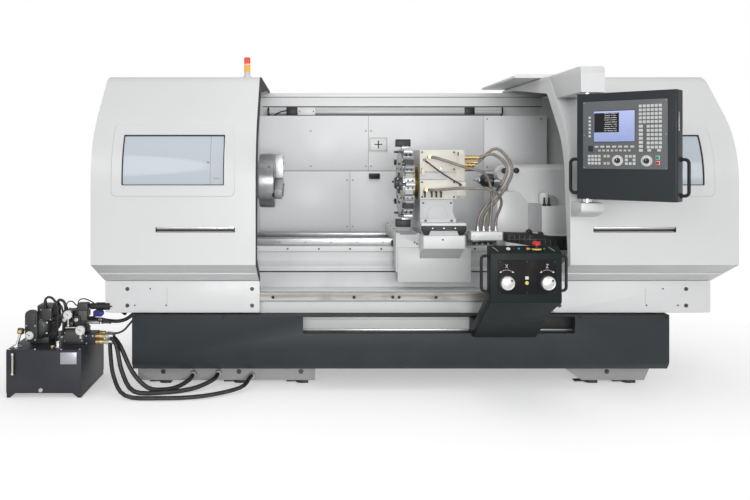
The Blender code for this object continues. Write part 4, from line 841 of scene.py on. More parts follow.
def ring_of(piece, shape, count, centre_y, centre_z, finish, first=0.0, turn=None):
    # Repeats a shape, drawn about the machine's layout, round a line along X.
    middle = at(0, centre_y, centre_z)
    middle.x = 0
    shape.transform(Matrix.Translation(-middle))
    pattern = pattern_of("ring_pattern", shape)
    made = grown("ring", RING, bpy.data.meshes.new("none"),
        {"Pattern": pattern, "Count": count, "First": first, "Finish": finish.material})
    made.transform(Matrix.Translation(middle))
    bpy.data.objects.remove(pattern)
    return piece.take(made, finish, turn=turn)


# Hoses: the routes of the source, laid as free hoses


def laid(first, between, last):
    return [at(*first)] + soft_run([at(*k) for k in between], 4) + [at(*last)]


SEAT = 0.2723
BLOCK_END = 0.0103
FOOT_Y = 0.3997
floor_runs = [((BLOCK_END, 0.278, SEAT + 0.047),
    [(0.08, 0.25, 0.27), (0.12, 0.215, 0.13), (0.2, 0.165, 0.03), (0.36, 0.185, 0.017),
    (0.52, 0.245, 0.02), (0.63, 0.31, 0.05), (0.66, FOOT_Y - 0.03, 0.075)], (0.66, FOOT_Y, 0.075), 0.013),
    ((BLOCK_END, 0.314, SEAT + 0.044), [(0.095, 0.28, 0.26), (0.175, 0.24, 0.12), (0.265, 0.235, 0.03),
    (0.36, 0.24, 0.017), (0.43, 0.285, 0.02), (0.49, 0.335, 0.045), (0.51, FOOT_Y - 0.03, 0.07)],
    (0.51, FOOT_Y, 0.07), 0.013),
    ((BLOCK_END, 0.278, SEAT + 0.014), [(0.048, 0.24, 0.225), (0.08, 0.185, 0.11), (0.165, 0.11, 0.022),
    (0.36, 0.085, 0.016), (0.6, 0.12, 0.017), (0.8, 0.23, 0.03), (0.85, 0.33, 0.06),
    (0.86, FOOT_Y - 0.03, 0.06)], (0.86, FOOT_Y, 0.06), 0.012)]


def crimp(piece, place, way, r, finish, long=0.03):
    # Hexagon nut and crimped collar where a hose is made fast.
    way = Vector(way).normalized()
    for start, end, size, sides in ((0.0, long * 0.4, r * 1.5, 6), (long * 0.4, long, r * 1.28, 16)):
        run = [place + way * (start + (end - start) * t) for t in (0.0, 0.5, 1.0)]
        piece.tube(run, size, sides, finish, r * 0.08, 1)


ends = Piece("floor_hose_fittings")
for k, (first, between, last, r) in enumerate(floor_runs):
    name = "floor_hose_%d" % (k + 1)
    run = laid(first, [(first[0] + 0.025, first[1], first[2])] + between, last)
    Piece(name + "_rubber").tube(run, r, 16, HOSE).done("frame", name)
    crimp(ends, run[0], (1, 0, 0), r, ZINC, 0.045)
    crimp(ends, run[-1], (0, -1, 0), r, ZINC, 0.04)
for name, places, r in (("unit_cable", [(-0.0467, 0.34, 0.4023), (-0.027, 0.34, 0.4023),
        (0.01, 0.355, 0.3923), (0.06, 0.38, 0.3843), (0.105, 0.4, 0.3943), (0.14, 0.415, 0.4203),
        (0.1647, 0.415, 0.4203)], 0.011),
        ("drain_hose", [(0.0103, 0.355, 0.3193), (0.0303, 0.355, 0.3193), (0.0603, 0.357, 0.3183),
        (0.0953, 0.36, 0.3333), (0.1253, 0.362, 0.3653), (0.147, 0.362, 0.3923), (0.1647, 0.362, 0.3923)],
        0.006)):
    run = laid(places[0], places[1:-1], places[-1])
    Piece(name + "_rubber").tube(run, r, 16, HOSE).done("frame", name)
    crimp(ends, run[0], (1, 0, 0), r, ZINC, 0.02)
    crimp(ends, run[-1], (-1, 0, 0), r, ZINC, 0.018)
ends.done("frame", slot="machined_steel")

HX0 = 1.848
HX1 = 2.06
turret_runs = [([(2.19, 0.28, 0.9343), (2.19, 0.28, 0.9593), (2.21, 0.28, 1.0393), (2.33, 0.3, 1.1993),
    (2.37, 0.31, 1.3093), (2.3, 0.35, 1.3843), (2.2203, 0.37, 1.3643), (2.1803, 0.37, 1.3643)], 0.009,
    (1, 0, 0)), ([(2.225, 0.28, 0.9343), (2.225, 0.28, 0.9593), (2.245, 0.28, 1.0393), (2.36, 0.3, 1.1893),
    (2.4, 0.31, 1.3093), (2.32, 0.36, 1.4193), (2.2203, 0.41, 1.3343), (2.1803, 0.41, 1.3343)], 0.009,
    (1, 0, 0)),
    ([(2.26, 0.28, 0.9343), (2.26, 0.28, 0.9593), (2.265, 0.27, 1.0193), (2.265, 0.245, 1.1493),
    (2.22, 0.2147, 1.2693), (2.1, 0.1947, 1.3093), (1.95, 0.1947, 1.3593), (1.9, 0.2247, 1.3693),
    (1.9, 0.2497, 1.3693)], 0.008, (0, -1, 0)),
    ([(2.295, 0.28, 0.9343), (2.295, 0.28, 0.9593), (2.3, 0.27, 1.0193), (2.315, 0.22, 1.1093),
    (2.25, 0.1747, 1.1793), (2.07, 0.1747, 1.1893), (1.94, 0.1847, 1.1793), (1.88, 0.2247, 1.1793),
    (1.88, 0.2497, 1.1793)], 0.008, (0, -1, 0))]
low_ends = Piece("hose_block_fittings")
high_ends = Piece("turret_head_fittings")
BAND_PLACES = ((2.2, 0.235, 1.37), (2.385, 0.345, 1.33), (2.3, 0.29, 1.17))
for k, (places, r, way) in enumerate(turret_runs):
    name = "turret_hose_%d" % (k + 1)
    run = laid(places[0], places[1:-1], places[-1])
    hose = Piece(name + "_braid").tube(run, r, 14, BRAID).done("carriage", name)
    hose.data.materials.append(RUBBER.material)
    for band in BAND_PLACES:
        for face in hose.data.polygons:
            if (face.center - at(*band)).length < 0.02:
                face.material_index = 1
    hose.parent = None
    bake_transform(hose)
    crimp(low_ends, run[0], (0, 0, 1), r, ZINC, 0.03)
    crimp(high_ends, run[-1], way, r, BRASS, 0.038)
low_ends.done("carriage", slot="machined_steel")
high_ends.done("cross_carrier", slot="brass_block")


# Hoods

def strip_of(line, z0, z1):
    # The stretch of a (y, z) line between two heights.
    low, high = ((spot_on(line, z)[0], z) for z in (z0, z1))
    return [low] + [p for p in line[2:-2] if z0 + 1e-4 < p[1] < z1 - 1e-4] + [high]


def rim_line(depth):
    # Inner edge of the meeting flange: full depth along the front and crown, shallow at both ends.
    depths = [0.03, 0.05] + [depth] * (len(HOOD) - 4) + [0.0205] * 2
    return [beside(HOOD, d)[k] for k, d in enumerate(depths)]


def hood(side, body, x0, x1, win0, pull0, pull_long, meet_high, screws):
    win = (win0, win0 + 0.564, 1.213, 1.492, 0.006)
    pull = (pull0, pull0 + pull_long, 0.954, 0.984, 0.003)
    pressed = (win0 - 0.06, win0 + 0.624, 1.15, 1.556, 0.03, 0.004)
    shell = Piece(side + "_hood_shell")
    shell.take(bent_sheet(HOOD, x0, x1, [win, pull], 0.02, [pressed]), WHITE)
    edge0, edge1 = (x1 - 0.02, x1) if meet_high else (x0, x0 + 0.02)
    shell.bar("x", beside(HOOD, 0.01) + list(reversed(rim_line(0.098))), edge0 + 0.0008, edge1 - 0.0008,
        WHITE)
    seal0, seal1 = (x1 - 0.004, x1 + 0.0012) if meet_high else (x0 - 0.0012, x0 + 0.004)
    shell.bar("x", beside(HOOD, -0.0008) + list(reversed(rim_line(0.094 if meet_high else 0.018))), seal0,
        seal1, RUBBER if meet_high else INNER_WHITE_LIFTED)
    # Light fold line across the undercut
    fold = [(0.157, 0.6985), (0.147, 0.6985), (0.1415, 0.704), (0.1415, 0.7085), (0.152, 0.7105)]
    shell.bar("x", fold, x0 + 0.012, x1 - 0.012, WHITE, 0.0008)
    # Pressed outer edge strip away from the meeting edge
    out0, out1 = (x0, x0 + 0.006) if meet_high else (x1 - 0.006, x1)
    shell.bar("x", beside(HOOD, 0.0005)[1:-1] + list(reversed(beside(HOOD, 0.035)[1:-1])), out0, out1,
        WHITE)
    shell.done(body, side + "_door", edge=28)

    pane = Piece(side + "_hood_pane")
    line = strip_of(beside(HOOD, 0.006), 1.2135, 1.4915)
    pane.take(bent_sheet(line, win0 + 0.0005, win0 + 0.5635, [], 0.006), GLASS_PAINTED_REFLECTION)
    # Edge of the inner sliding pane, with its stud
    if meet_high:
        mark = strip_of(beside(HOOD, 0.0054), 1.2185, 1.4855)
        pane.take(bent_sheet(mark, win0 + 0.486, win0 + 0.4874, [], 0.001), PLATE)
        pane.lathed("y", (win0 + 0.4755, 1.3405), [0.02, 0.0034, 0.0042, 0.0034, 0.0034, 0.0026], 14, OILED)
        pane.take(bent_sheet(strip_of(beside(HOOD, 0.0054), 1.25, 1.252), win0 + 0.506, win0 + 0.538, [],
            0.001), PLATE)
    pane.done(body, side + "_window")
    trim = Piece(side + "_window_seal")
    line = strip_of(beside(HOOD, 0.0015), 1.2135, 1.4915)
    trim.take(bent_sheet(line, win0 + 0.0004, win0 + 0.5636,
        [(win0 + 0.0055, win0 + 0.5585, 1.2175, 1.4865, 0.004)], 0.004), RUBBER)
    trim.done(body, slot="black_rubber")

    grip = Piece(side + "_hood_grip")
    g0, g1 = pull0 + 0.0006, pull0 + pull_long - 0.0006
    grip.slab(g0, g1, 0.015, 0.0178, 0.9546, 0.9834, BLACK)
    lip = [(0.001, 0.9832), (0.001, 0.9775), (0.006, 0.97), (0.012, 0.9675), (0.0148, 0.9675),
        (0.0148, 0.9832)]
    grip.bar("x", lip, g0 + 0.004, g1 - 0.004, SHEET, 0.0008)
    for a0, a1 in ((g0, g0 + 0.004), (g1 - 0.004, g1)):
        grip.slab(a0, a1, 0.0005, 0.015, 0.9546, 0.9834, BLACK, 0.0006)
    grip.slab(g0 + 0.004, g1 - 0.004, 0.0005, 0.015, 0.9546, 0.957, BLACK)
    grip.done(body, side + "_pull")

    plate = Piece(side + "_apron_plate")
    a0, a1 = (x0 + 0.004, x1) if meet_high else (x0, x1 - 0.004)
    plate.bar("y", round_box(a0, a1, 0.454, 0.6395, 0.008), 0.29, 0.305, WHITE, 0.002)
    o = x0 if meet_high else x1
    s = 1 if meet_high else -1
    far, high, near, mid, seam = (o + s * t for t in screws)
    bolts = [(far, 0.29, 0.5925), (far, 0.29, 0.495)]
    small = [(high, 0.29, 0.594), (near, 0.29, 0.497), (mid, 0.29, 0.497)]
    if meet_high:
        bolts += [(0.867, 0.29, 0.5925), (0.867, 0.29, 0.495)]
    else:
        bolts += [(x0 + 0.035, 0.29, 0.495)]
    studs(plate, HEXHEAD, 0.0085, bolts, AHEAD, OILED, 3)
    studs(plate, SOCKET, 0.0045, small, AHEAD, OILED, 4)
    plate.slab(seam - 0.0005, seam + 0.0005, 0.2896, 0.2905, 0.5, 0.6, PLATE)
    plate.done(body, side + "_apron")


hood("left", "left_hood", 0.0, 0.9115, 0.17, 0.357, 0.437, True, (0.134, 0.269, 0.178, 0.362, 0.367))
hood("right", "right_hood", 2.639, 3.565, 2.811, 2.765, 0.455, False, (0.147, 0.284, 0.196, 0.38, 0.388))


# Pendant arm, cover and bracket
arm = Piece("pendant_arm_box")
skin = beside(HOOD, -0.0003)
foot = [p for p in reversed(skin[:-2]) if 1.714 < p[1] < 1.85]
head_end = [(-0.16, 1.712), (-0.16, 1.822)] + [(-0.16 + 0.03 * (1 - cos(t)),
    1.822 + 0.03 * sin(t)) for t in (radians(15 * k) for k in range(1, 7))]
arm.bar("x", head_end + [(0.4, 1.852)] + foot + [(spot_on(skin, 1.712)[0], 1.712)], 2.639, 2.767, WHITE,
    0.004)
arm.slab(2.6395, 2.7665, -0.1603, -0.1592, 1.7125, 1.815, INNER_WHITE_LIFTED)
arm.done("right_hood", "pendant_arm")
bracket = Piece("pendant_foot_bracket")
bracket.bar("x", [-0.16, 1.085, -0.16, 1.126, -0.0003, 1.126, -0.0003, 1.04, -0.08, 1.052, -0.15, 1.074],
    2.64, 2.762, WHITE, 0.004)
bracket.lathed("z", (2.69, -0.1), [1.1255, 0.036, 1.1262, 0.036, 1.1262, 0.0], 24, BLACK)
bracket.done("right_hood", "pendant_bracket")
cover = Piece("arm_cable_cover")
cover.bar("y", [2.48, 1.8595, 2.655, 1.859, 2.655, 1.8526, 2.74, 1.8526, 2.74, 1.882, 2.5, 1.882, 2.48,
    1.874], 0.56, 1.44, WHITE, 0.003)
cover.slab(2.486, 2.736, 0.5592, 0.56, 1.861, 1.879, INNER_WHITE_LIFTED)
studs(cover, SOCKET, 0.004, [(x, y, 1.882) for x in (2.53, 2.71) for y in (0.62, 0.86, 1.12, 1.38)], UP,
    ZINC, 5)
cover.done("right_hood", "arm_cover")

# Pendant, drawn square and then turned about its pin
SWING = spun(radians(-41.3), "Z", (2.69, -0.1, 1.148))
U0, V0, Z0 = 2.6697, -0.1845, 1.148
case = Piece("pendant_housing", SWING)
outline = [(U0 + 0.006, V0), (U0 + 0.494, V0), (U0 + 0.5, V0 + 0.006), (U0 + 0.5, V0 + 0.09),
    (U0 + 0.465, V0 + 0.12), (U0 + 0.006, V0 + 0.12), (U0, V0 + 0.114), (U0, V0 + 0.006)]
case.bar("z", outline, Z0, Z0 + 0.554, SLATE, 0.004)
for z0, z1 in ((1.1263, Z0), (Z0 + 0.554, 1.7117)):
    case.lathed("z", (2.69, -0.1), [z0, 0.03, z1, 0.03], 28, CHROME)
case.slab(U0 + 0.5, U0 + 0.5012, V0 + 0.02, V0 + 0.034, Z0 + 0.35, Z0 + 0.444, SHEET, 0.0004)
case.slab(U0 + 0.06, U0 + 0.44, V0 + 0.12, V0 + 0.1212, Z0 + 0.06, Z0 + 0.5, SLATE, 0.0005)
for k in range(9):
    case.slab(U0 + 0.15, U0 + 0.35, V0 + 0.121, V0 + 0.1222, Z0 + 0.38 + 0.01 * k, Z0 + 0.384 + 0.01 * k,
        BLACK)
studs(case, SOCKET, 0.0045,
    [(U0 + u, V0 + 0.1212, Z0 + z) for u in (0.072, 0.428) for z in (0.072, 0.488)], (0, 1, 0), ZINC, 6)
case.done("pendant", "pendant_case")

SCREEN = Finish("screen_glass", 0.16, Emission_Strength=0.55)
scr_u, scr_v = SCREEN.axes(SCREEN.along())[:2]
scr_rows = ((scr_v * 34.0).part() > 0.62) * (SCREEN.noise(1.0, 1.0,
    SCREEN.node("ShaderNodeCombineXYZ", None, {0: scr_u * 46.0, 1: scr_v * 34.0 - (scr_v * 34.0).part(),
    2: 3.0})) > 0.5)
scr_blue = SCREEN.mixed((0.2, 0.25, 0.46), (0.33, 0.38, 0.62), scr_v)
SCREEN.set(colour=SCREEN.mixed(scr_blue, (0.62, 0.66, 0.8), scr_rows * 0.35),
    glow=SCREEN.mixed(scr_blue, (0.62, 0.66, 0.8), scr_rows * 0.35),
    rough=0.14 + SCREEN.noise(40.0) * 0.06)
READOUT = Finish("readout_glass", 0.16, Emission_Strength=0.6)
ro_u, ro_v = READOUT.axes(READOUT.along())[:2]
ro_line = ((ro_v * 9.0).part() > 0.55) * ((ro_v * 9.0).part() < 0.88)
ro_cell = READOUT.noise(1.0, 1.0,
    READOUT.node("ShaderNodeCombineXYZ", None, {0: ro_u * 60.0, 1: ro_v * 9.0 - (ro_v * 9.0).part(),
    2: 7.0})) > 0.52
ro_mark = ro_line * ro_cell * (ro_u > 0.42) * (ro_u < 0.92)
READOUT.set(colour=READOUT.mixed((0.006, 0.006, 0.007), (0.75, 0.78, 0.78), ro_mark),
    glow=READOUT.mixed((0.0, 0.0, 0.0), (0.75, 0.78, 0.78), ro_mark),
    rough=0.14 + READOUT.noise(40.0) * 0.06)
KEYCAP = moulded("key_caps", (0.66, 0.66, 0.64), 0.45, 900.0, 0.0001, 0.05)
SOFTKEY = moulded("soft_key_caps", (0.6, 0.55, 0.42), 0.5, 900.0, 0.0001, 0.08)
DIALFACE = moulded("dial_faces", (0.7, 0.7, 0.7), 0.4, 900.0, 0.0001, 0.04)
GREEN, TEAL, ORANGE, YELLOW, PALE = (moulded(name + "_button", colour, 0.35, 300.0, 0.0001, 0.05) for name,
    colour in (("green", (0.02, 0.36, 0.16)), ("teal", (0.03, 0.42, 0.4)), ("orange", (0.85, 0.34, 0.05)),
    ("yellow", (0.8, 0.62, 0.16)), ("white", (0.76, 0.76, 0.75))))


def pane_uv(x0, x1, y, z0, z1, thick):
    # Flat glass with its picture laid over the front from corner to corner.
    shape = slab(x0, x1, y, y + thick, z0, z1)
    sheet = shape.loops.layers.uv.new("UVMap")
    low, high = at(x0, y, z0), at(x1, y, z1)
    for face in shape.faces:
        for loop in face.loops:
            c = loop.vert.co
            loop[sheet].uv = ((c.x - low.x) / (high.x - low.x), (c.z - low.z) / (high.z - low.z))
    return shape


panel = Piece("pendant_control_panel", SWING)
FRONT = V0 - 0.004
panel.bar("y", round_box(U0 + 0.036, U0 + 0.456, 1.308, 1.658, 0.004), FRONT, V0 - 0.0003, PLATE, 0.0012)
inner = [(U0 + 0.0905, U0 + 0.303, 1.446, 1.609), (U0 + 0.0655, U0 + 0.0795, 1.469, 1.584),
    (U0 + 0.316, U0 + 0.4345, 1.392, 1.637), (U0 + 0.06, U0 + 0.3065, 1.326, 1.384)]
for a, b, c, d in inner:
    panel.bar("y", round_box(a, b, c, d, 0.003), FRONT - 0.0006, FRONT + 0.0005,
        BLACK if a > U0 + 0.08 and b < U0 + 0.31 and c > 1.44 else PLATE, 0.0003)
panel.take(pane_uv(U0 + 0.0935, U0 + 0.3, FRONT - 0.0012, 1.449, 1.606, 0.001), SCREEN)
panel.take(pane_uv(U0 + 0.0955, U0 + 0.2225, FRONT - 0.0018, 1.497, 1.597, 0.0007), READOUT)
for u, z, columns, rows, pitch_x, pitch_z, wide, high, cap in ((0.0725, 1.5265, 1, 6, 0.0, 0.0193, 0.0115,
        0.0115, KEYCAP), (0.198, 1.4228, 7, 1, 0.03, 0.0, 0.019, 0.0095, KEYCAP),
        (0.1985, 1.403, 8, 1, 0.0215, 0.0, 0.0125, 0.0095, SOFTKEY),
        (0.375, 1.5858, 6, 5, 0.019, 0.0198, 0.0145, 0.014, KEYCAP),
        (0.33, 1.4635, 1, 7, 0.0, 0.0202, 0.0195, 0.014, KEYCAP),
        (0.394, 1.4712, 4, 6, 0.019, 0.0208, 0.0145, 0.014, KEYCAP),
        (0.3935, 1.403, 2, 1, 0.046, 0.0, 0.017, 0.012, KEYCAP),
        (0.096, 1.3555, 4, 3, 0.0175, 0.0185, 0.013, 0.013, KEYCAP),
        (0.16, 1.3555, 2, 2, 0.018, 0.037, 0.013, 0.013, SOFTKEY),
        (0.2785, 1.355, 3, 2, 0.019, 0.037, 0.013, 0.013, KEYCAP),
        (0.2785, 1.355, 2, 1, 0.038, 0.0, 0.013, 0.013, KEYCAP)):
    keys(panel, U0 + u, FRONT - 0.0015, z, columns, rows, pitch_x, pitch_z, (wide, high, 0.003), cap)
panel.slab(U0 + 0.066, U0 + 0.09, FRONT - 0.004, FRONT, 1.398, 1.428, BLACK, 0.002)
panel.lathed("y", (U0 + 0.078, 1.413), [FRONT - 0.004, 0.009, FRONT - 0.01, 0.008, FRONT - 0.011, 0.006],
    20, BLACK, 0.0005)
for u, z in ((0.215, 1.3518), (0.3575, 1.3508)):
    panel.lathed("y", (U0 + u, z), [FRONT, 0.0275, FRONT - 0.0012, 0.0275, FRONT - 0.0015, 0.026], 40,
        DIALFACE)
    panel.lathed("y", (U0 + u, z), [FRONT - 0.0012, 0.014, FRONT - 0.013, 0.0115, FRONT - 0.014, 0.0095],
        24, BLACK, 0.0006)
    panel.slab(U0 + u - 0.001, U0 + u + 0.001, FRONT - 0.0146, FRONT - 0.0138, z, z + 0.009, PALE)

    for k in range(13):

        c = (U0 + u + 0.0215 * cos(radians(210 - 20 * k)), z + 0.0215 * sin(radians(210 - 20 * k)))
        panel.bar("y", disc_line(c[0], c[1], 0.0011, 6), FRONT - 0.0019, FRONT - 0.0014, BLACK)

for z, finish in ((1.367, GREEN), (1.3405, RED)):
    panel.slab(U0 + 0.4, U0 + 0.42, FRONT - 0.0025, FRONT, z - 0.0095, z + 0.0095, PALE, 0.001)
    panel.slab(U0 + 0.402, U0 + 0.418, FRONT - 0.0055, FRONT - 0.002, z - 0.0075, z + 0.0075, finish, 0.001)
studs(panel, SOCKET, 0.0028, [(U0 + u, FRONT, z) for u in (0.043, 0.449) for z in (1.315, 1.483, 1.651)],
    AHEAD, ZINC, 7)
panel.done("pendant", "pendant_panel")


def bow(name, node, body, x, side, y, z0, z1, reach, r, turn=None):
    # Bent bar grip with a flared foot at each end.
    grip = Piece(name, turn)
    b = min(0.022, reach * 0.55)
    run = [(x, y, z0), (x + side * (reach - b), y, z0)]
    run += [(x + side * (reach - b + b * sin(t)), y,
        z0 + b * (1 - cos(t))) for t in (radians(15 * k) for k in range(1, 7))]
    run += [(x + side * (reach - b + b * cos(t)), y,
        z1 - b * (1 - sin(t))) for t in (radians(15 * k) for k in range(0, 7))]
    run += [(x, y, z1)]
    grip.tube([at(*p) for p in run], r, 16, RUBBER)
    for z in (z0, z1):
        grip.lathed("x", (y, z), [x, r * 1.6, x + side * 0.004, r * 1.6, x + side * 0.008, r * 1.05], 20,
            RUBBER)
    grip.done(body, node)


bow("pendant_bow_left", "pendant_grip_left", "pendant", U0 - 0.0003, -1, V0 + 0.06, Z0 + 0.03, Z0 + 0.21,
    0.056, 0.009, SWING)
bow("pendant_bow_right", "pendant_grip_right", "pendant", U0 + 0.5003, 1, V0 + 0.06, Z0 + 0.03, Z0 + 0.21,
    0.036, 0.008, SWING)


def carved(shape, *cutters):
    # The shape with the cutters taken out of it.
    bmesh.ops.recalc_face_normals(shape, faces=shape.faces)
    mesh = bpy.data.meshes.new("carved")
    shape.to_mesh(mesh)
    shape.free()
    holder = bpy.data.objects.new("carved", mesh)
    show(holder)
    tools = []
    for cutter in cutters:
        tool = pattern_of("cutter", cutter)
        show(tool)
        step = holder.modifiers.new("cut", "BOOLEAN")
        step.operation = "DIFFERENCE"
        step.solver = "EXACT"
        step.object = tool
        tools.append(tool)
    result = bpy.data.meshes.new_from_object(holder.evaluated_get(bpy.context.evaluated_depsgraph_get()))
    for tool in tools + [holder]:
        bpy.data.objects.remove(tool)
    out = bmesh.new()
    out.from_mesh(result)
    bpy.data.meshes.remove(result)
    bmesh.ops.remove_doubles(out, verts=out.verts, dist=2e-6)
    bmesh.ops.dissolve_limit(out, angle_limit=0.002, verts=out.verts, edges=out.edges)
    return out


SHADE = sprayed("shaded_enamel", (0.36, 0.37, 0.38), 0.5, 700.0, 0.0004, 0.04)

# Console
CX0, CX1, CF = 2.149, 2.526, -0.2
console = Piece("console_body")
side = [(CF, 0.606), (CF, 0.867), (CF + 0.06, 0.897), (-0.125, 0.897), (-0.125, 0.645), (0.164, 0.445),
    (0.19, 0.43), (0.31, 0.43), (0.31, 0.3363), (0.268, 0.3363), (0.205, 0.328)]
undercut = [(CX1 + 0.1, 0.598), (CX1, 0.598), (CX1 - 0.022, 0.545), (CX1 - 0.014, 0.3), (CX1 + 0.1, 0.3)]
console.take(carved(bar("x", side, CX0, CX1), bar("y", undercut, -0.5, 0.6)), CASE, 0.004)
console.slab(CX0 + 0.06, CX1 - 0.06, -0.1255, -0.1238, 0.77, 0.885, CASE, 0.0005)
studs(console, SOCKET, 0.0045,
    [(x, -0.1238, z) for x in (CX0 + 0.072, CX1 - 0.072) for z in (0.78, 0.875)], (0, 1, 0), ZINC, 8)
for x, lean in ((CX0 + 0.024, 1), (CX1 - 0.056, 1)):
    console.tube([at(x, CF + 0.05, 0.8924), at(x + 0.022 * lean, CF + 0.014, 0.8744)], 0.0012, 6, KEYCAP)
SLOPE = Vector((0, -0.4472, 0.8944))
for x, finish, r in ((2.2507, PALE, 0.011), (2.307, TEAL, 0.006), (2.3536, ORANGE, 0.008),
        (2.44, GREEN, 0.005), (2.364, GREEN, 0.005), (2.279, BLACK, 0.006)):
    button = at(x, CF + 0.028, 0.881)
    console.tube([button - SLOPE * 0.004, button + SLOPE * 0.0025], r * 1.25, 20, BLACK, 0.0005)
    console.tube([button + SLOPE * 0.002, button + SLOPE * 0.0085], r, 20, finish, 0.0015)
console.done("console", "console_case")

PANEL = moulded("console_panel_black", (0.01, 0.01, 0.011), 0.5, shine=0.12)
board = Piece("console_control_panel")
PF = CF - 0.004
board.bar("y", round_box(2.19, 2.494, 0.652, 0.83, 0.003), PF, CF - 0.0003, PANEL, 0.001)
MARK = PF - 0.0008
for x, letter in ((2.235, "X"), (2.447, "Z")):
    strokes = [((-0.006, -0.009), (0.006, 0.009)), ((-0.006, 0.009), (0.006, -0.009))]
    if letter == "Z":
        strokes = [((-0.006, 0.009), (0.006, 0.009)), ((0.006, 0.009), (-0.006, -0.009)),
            ((-0.006, -0.009), (0.006, -0.009))]
    for (a0, b0), (a1, b1) in strokes:
        board.tube([at(x + a0, MARK, 0.799 + b0), at(x + a1, MARK, 0.799 + b1)], 0.0014, 6, PALE)
    sweep = [at(x + 0.044 * sin(t), MARK,
        0.735 + 0.044 * cos(t)) for t in (radians(-34 + 8.5 * k) for k in range(9))]
    board.tube(sweep, 0.0009, 6, PALE)
    for s in (-1, 1):
        tip = at(x + s * 0.031, MARK, 0.768)
        board.take(body_of([tip + Vector((s * 0.008, 0, -0.004)), tip + Vector((s * -0.001, 0, 0.006)),
            tip + Vector((s * -0.005, 0, -0.003)), tip + Vector((0, -0.001, 0))],
            [(0, 1, 2), (0, 1, 3), (1, 2, 3), (0, 2, 3)]), PALE)
    board.lathed("y", (x, 0.713), [PF + 0.001, 0.0405, PF - 0.0002, 0.0405], 40, BLACK)
board.slab(2.331, 2.349, PF - 0.005, PF + 0.001, 0.729, 0.745, PALE, 0.001)
board.lathed("y", (2.34, 0.711), [PF + 0.001, 0.01, PF - 0.004, 0.01, PF - 0.006, 0.0085], 24, YELLOW,
    0.0005)
studs(board, SOCKET, 0.0028, [(x, PF, z) for x in (2.198, 2.342, 2.486) for z in (0.66, 0.822)], AHEAD,
    OILED, 9)
board.done("console", "console_panel")
bow("console_bow_left", "console_grip_left", "console", CX0 - 0.0003, -1, CF + 0.035, 0.66, 0.848, 0.038,
    0.008)
bow("console_bow_right", "console_grip_right", "console", CX1 + 0.0003, 1, CF + 0.035, 0.664, 0.848, 0.033,
    0.008)
stop = Piece("stop_push")
for finish, profile in ((YELLOW, [(0.88, 0.026), (0.8855, 0.026), (0.8862, 0.025)]),
        (BLACK, [(0.885, 0.013), (0.903, 0.012)]),
        (RED, [(0.9025, 0.014), (0.904, 0.02), (0.907, 0.0225), (0.915, 0.0225), (0.921, 0.0195),
        (0.9245, 0.012), (0.925, 0.0)])):
    stop.lathed("z", (2.402, -0.165), profile, 32, finish)
stop.done("console", "stop_button")
for name, body, x in (("x_wheel", "x_handwheel", 2.235), ("z_wheel", "z_handwheel", 2.447)):
    knob = Piece(name + "_knob")
    w = CF - 0.0043
    knob.lathed("y", (x, 0.713), [w, 0.03, w - 0.006, 0.03], 32, OILED)
    knob.bar("y", toothed(x, 0.713, (0.0358, 0.037), 96), w - 0.007, w - 0.024, KNOB)
    knob.lathed("y", (x, 0.713), [w - 0.0238, 0.0345, w - 0.025, 0.036, w - 0.03, 0.0362, w - 0.0335,
        0.034, w - 0.0345, 0.031, w - 0.034, 0.029, w - 0.0352, 0.027, w - 0.0355, 0.0], 48, KNOB)
    knob.lathed("y", (x + 0.018, 0.728), [w - 0.034, 0.006, w - 0.0362, 0.0058, w - 0.0365, 0.0045], 20,
        OILED)
    knob.done(body, name)

# Carriage

def ways(x0, x1):
    return [slab(x0, x1, a, b, 0.79, 0.8625) for a, b in ((0.549, 0.611), (0.889, 0.966))]


sad = Piece("carriage_saddle")
sad.take(carved(bar("x", [0.36, 0.68, 0.505, 0.68, 0.505, 0.8163, 1.0, 0.8163, 1.0, 0.895, 0.98, 0.915,
    0.36, 0.915], 1.72, 2.142), slab(1.745, 1.8475, 0.35, 0.6, 0.905, 0.93),
    slab(2.1125, 2.16, 0.35, 1.1, 0.898, 0.93), *ways(1.6, 2.3)), CARRIAGE, 0.003)
sad.bar("x", [0.2, 0.84, 0.2, 0.915, 0.4, 0.915, 0.4, 0.78], 1.86, 2.1, WHITE, 0.004)
sad.bar("x", [0.203, 0.8388, 0.3603, 0.7916, 0.3603, 0.76], 1.862, 2.098, CARRIAGE, 0.001)
sad.slab(1.73, 2.168, 0.352, 0.38, 0.622, 0.8285, CARRIAGE, 0.003)
for x0, x1 in ((1.712, 1.7205), (2.1415, 2.15)):
    sad.slab(x0, x1, 0.52, 0.985, 0.8163, 0.85, BLACK, 0.001)
studs(sad, SOCKET, 0.0055, [(1.972, 0.2, 0.892), (1.832, 0.36, 0.858), (1.846, 0.36, 0.85)], AHEAD, OILED,
    10)
studs(sad, SOCKET, 0.005, [(x, y, 0.915) for x in (1.733, 2.128) for y in (0.42, 0.6, 0.8, 0.95)], UP,
    OILED, 11)
sad.done("carriage", "saddle")
dist = Piece("hose_distributor")
dist.slab(2.1423, 2.324, 0.23, 0.33, 0.885, 0.934, WHITE, 0.003)
dist.slab(2.1423, 2.3, 0.32, 0.42, 0.86, 0.9, OILED, 0.002)
dist.slab(2.15, 2.29, 0.24, 0.322, 0.872, 0.8852, OILED, 0.001)
studs(dist, SOCKET, 0.0045, [(2.158, 0.23, 0.91), (2.308, 0.23, 0.91)], AHEAD, ZINC, 12)
for x in (2.172, 2.205, 2.238, 2.272):
    dist.tube([at(x, 0.262, 0.873), at(x, 0.262, 0.862), at(x - 0.01, 0.28, 0.861)], 0.0065, 10, BLACK)
dist.done("carriage", "hose_block")

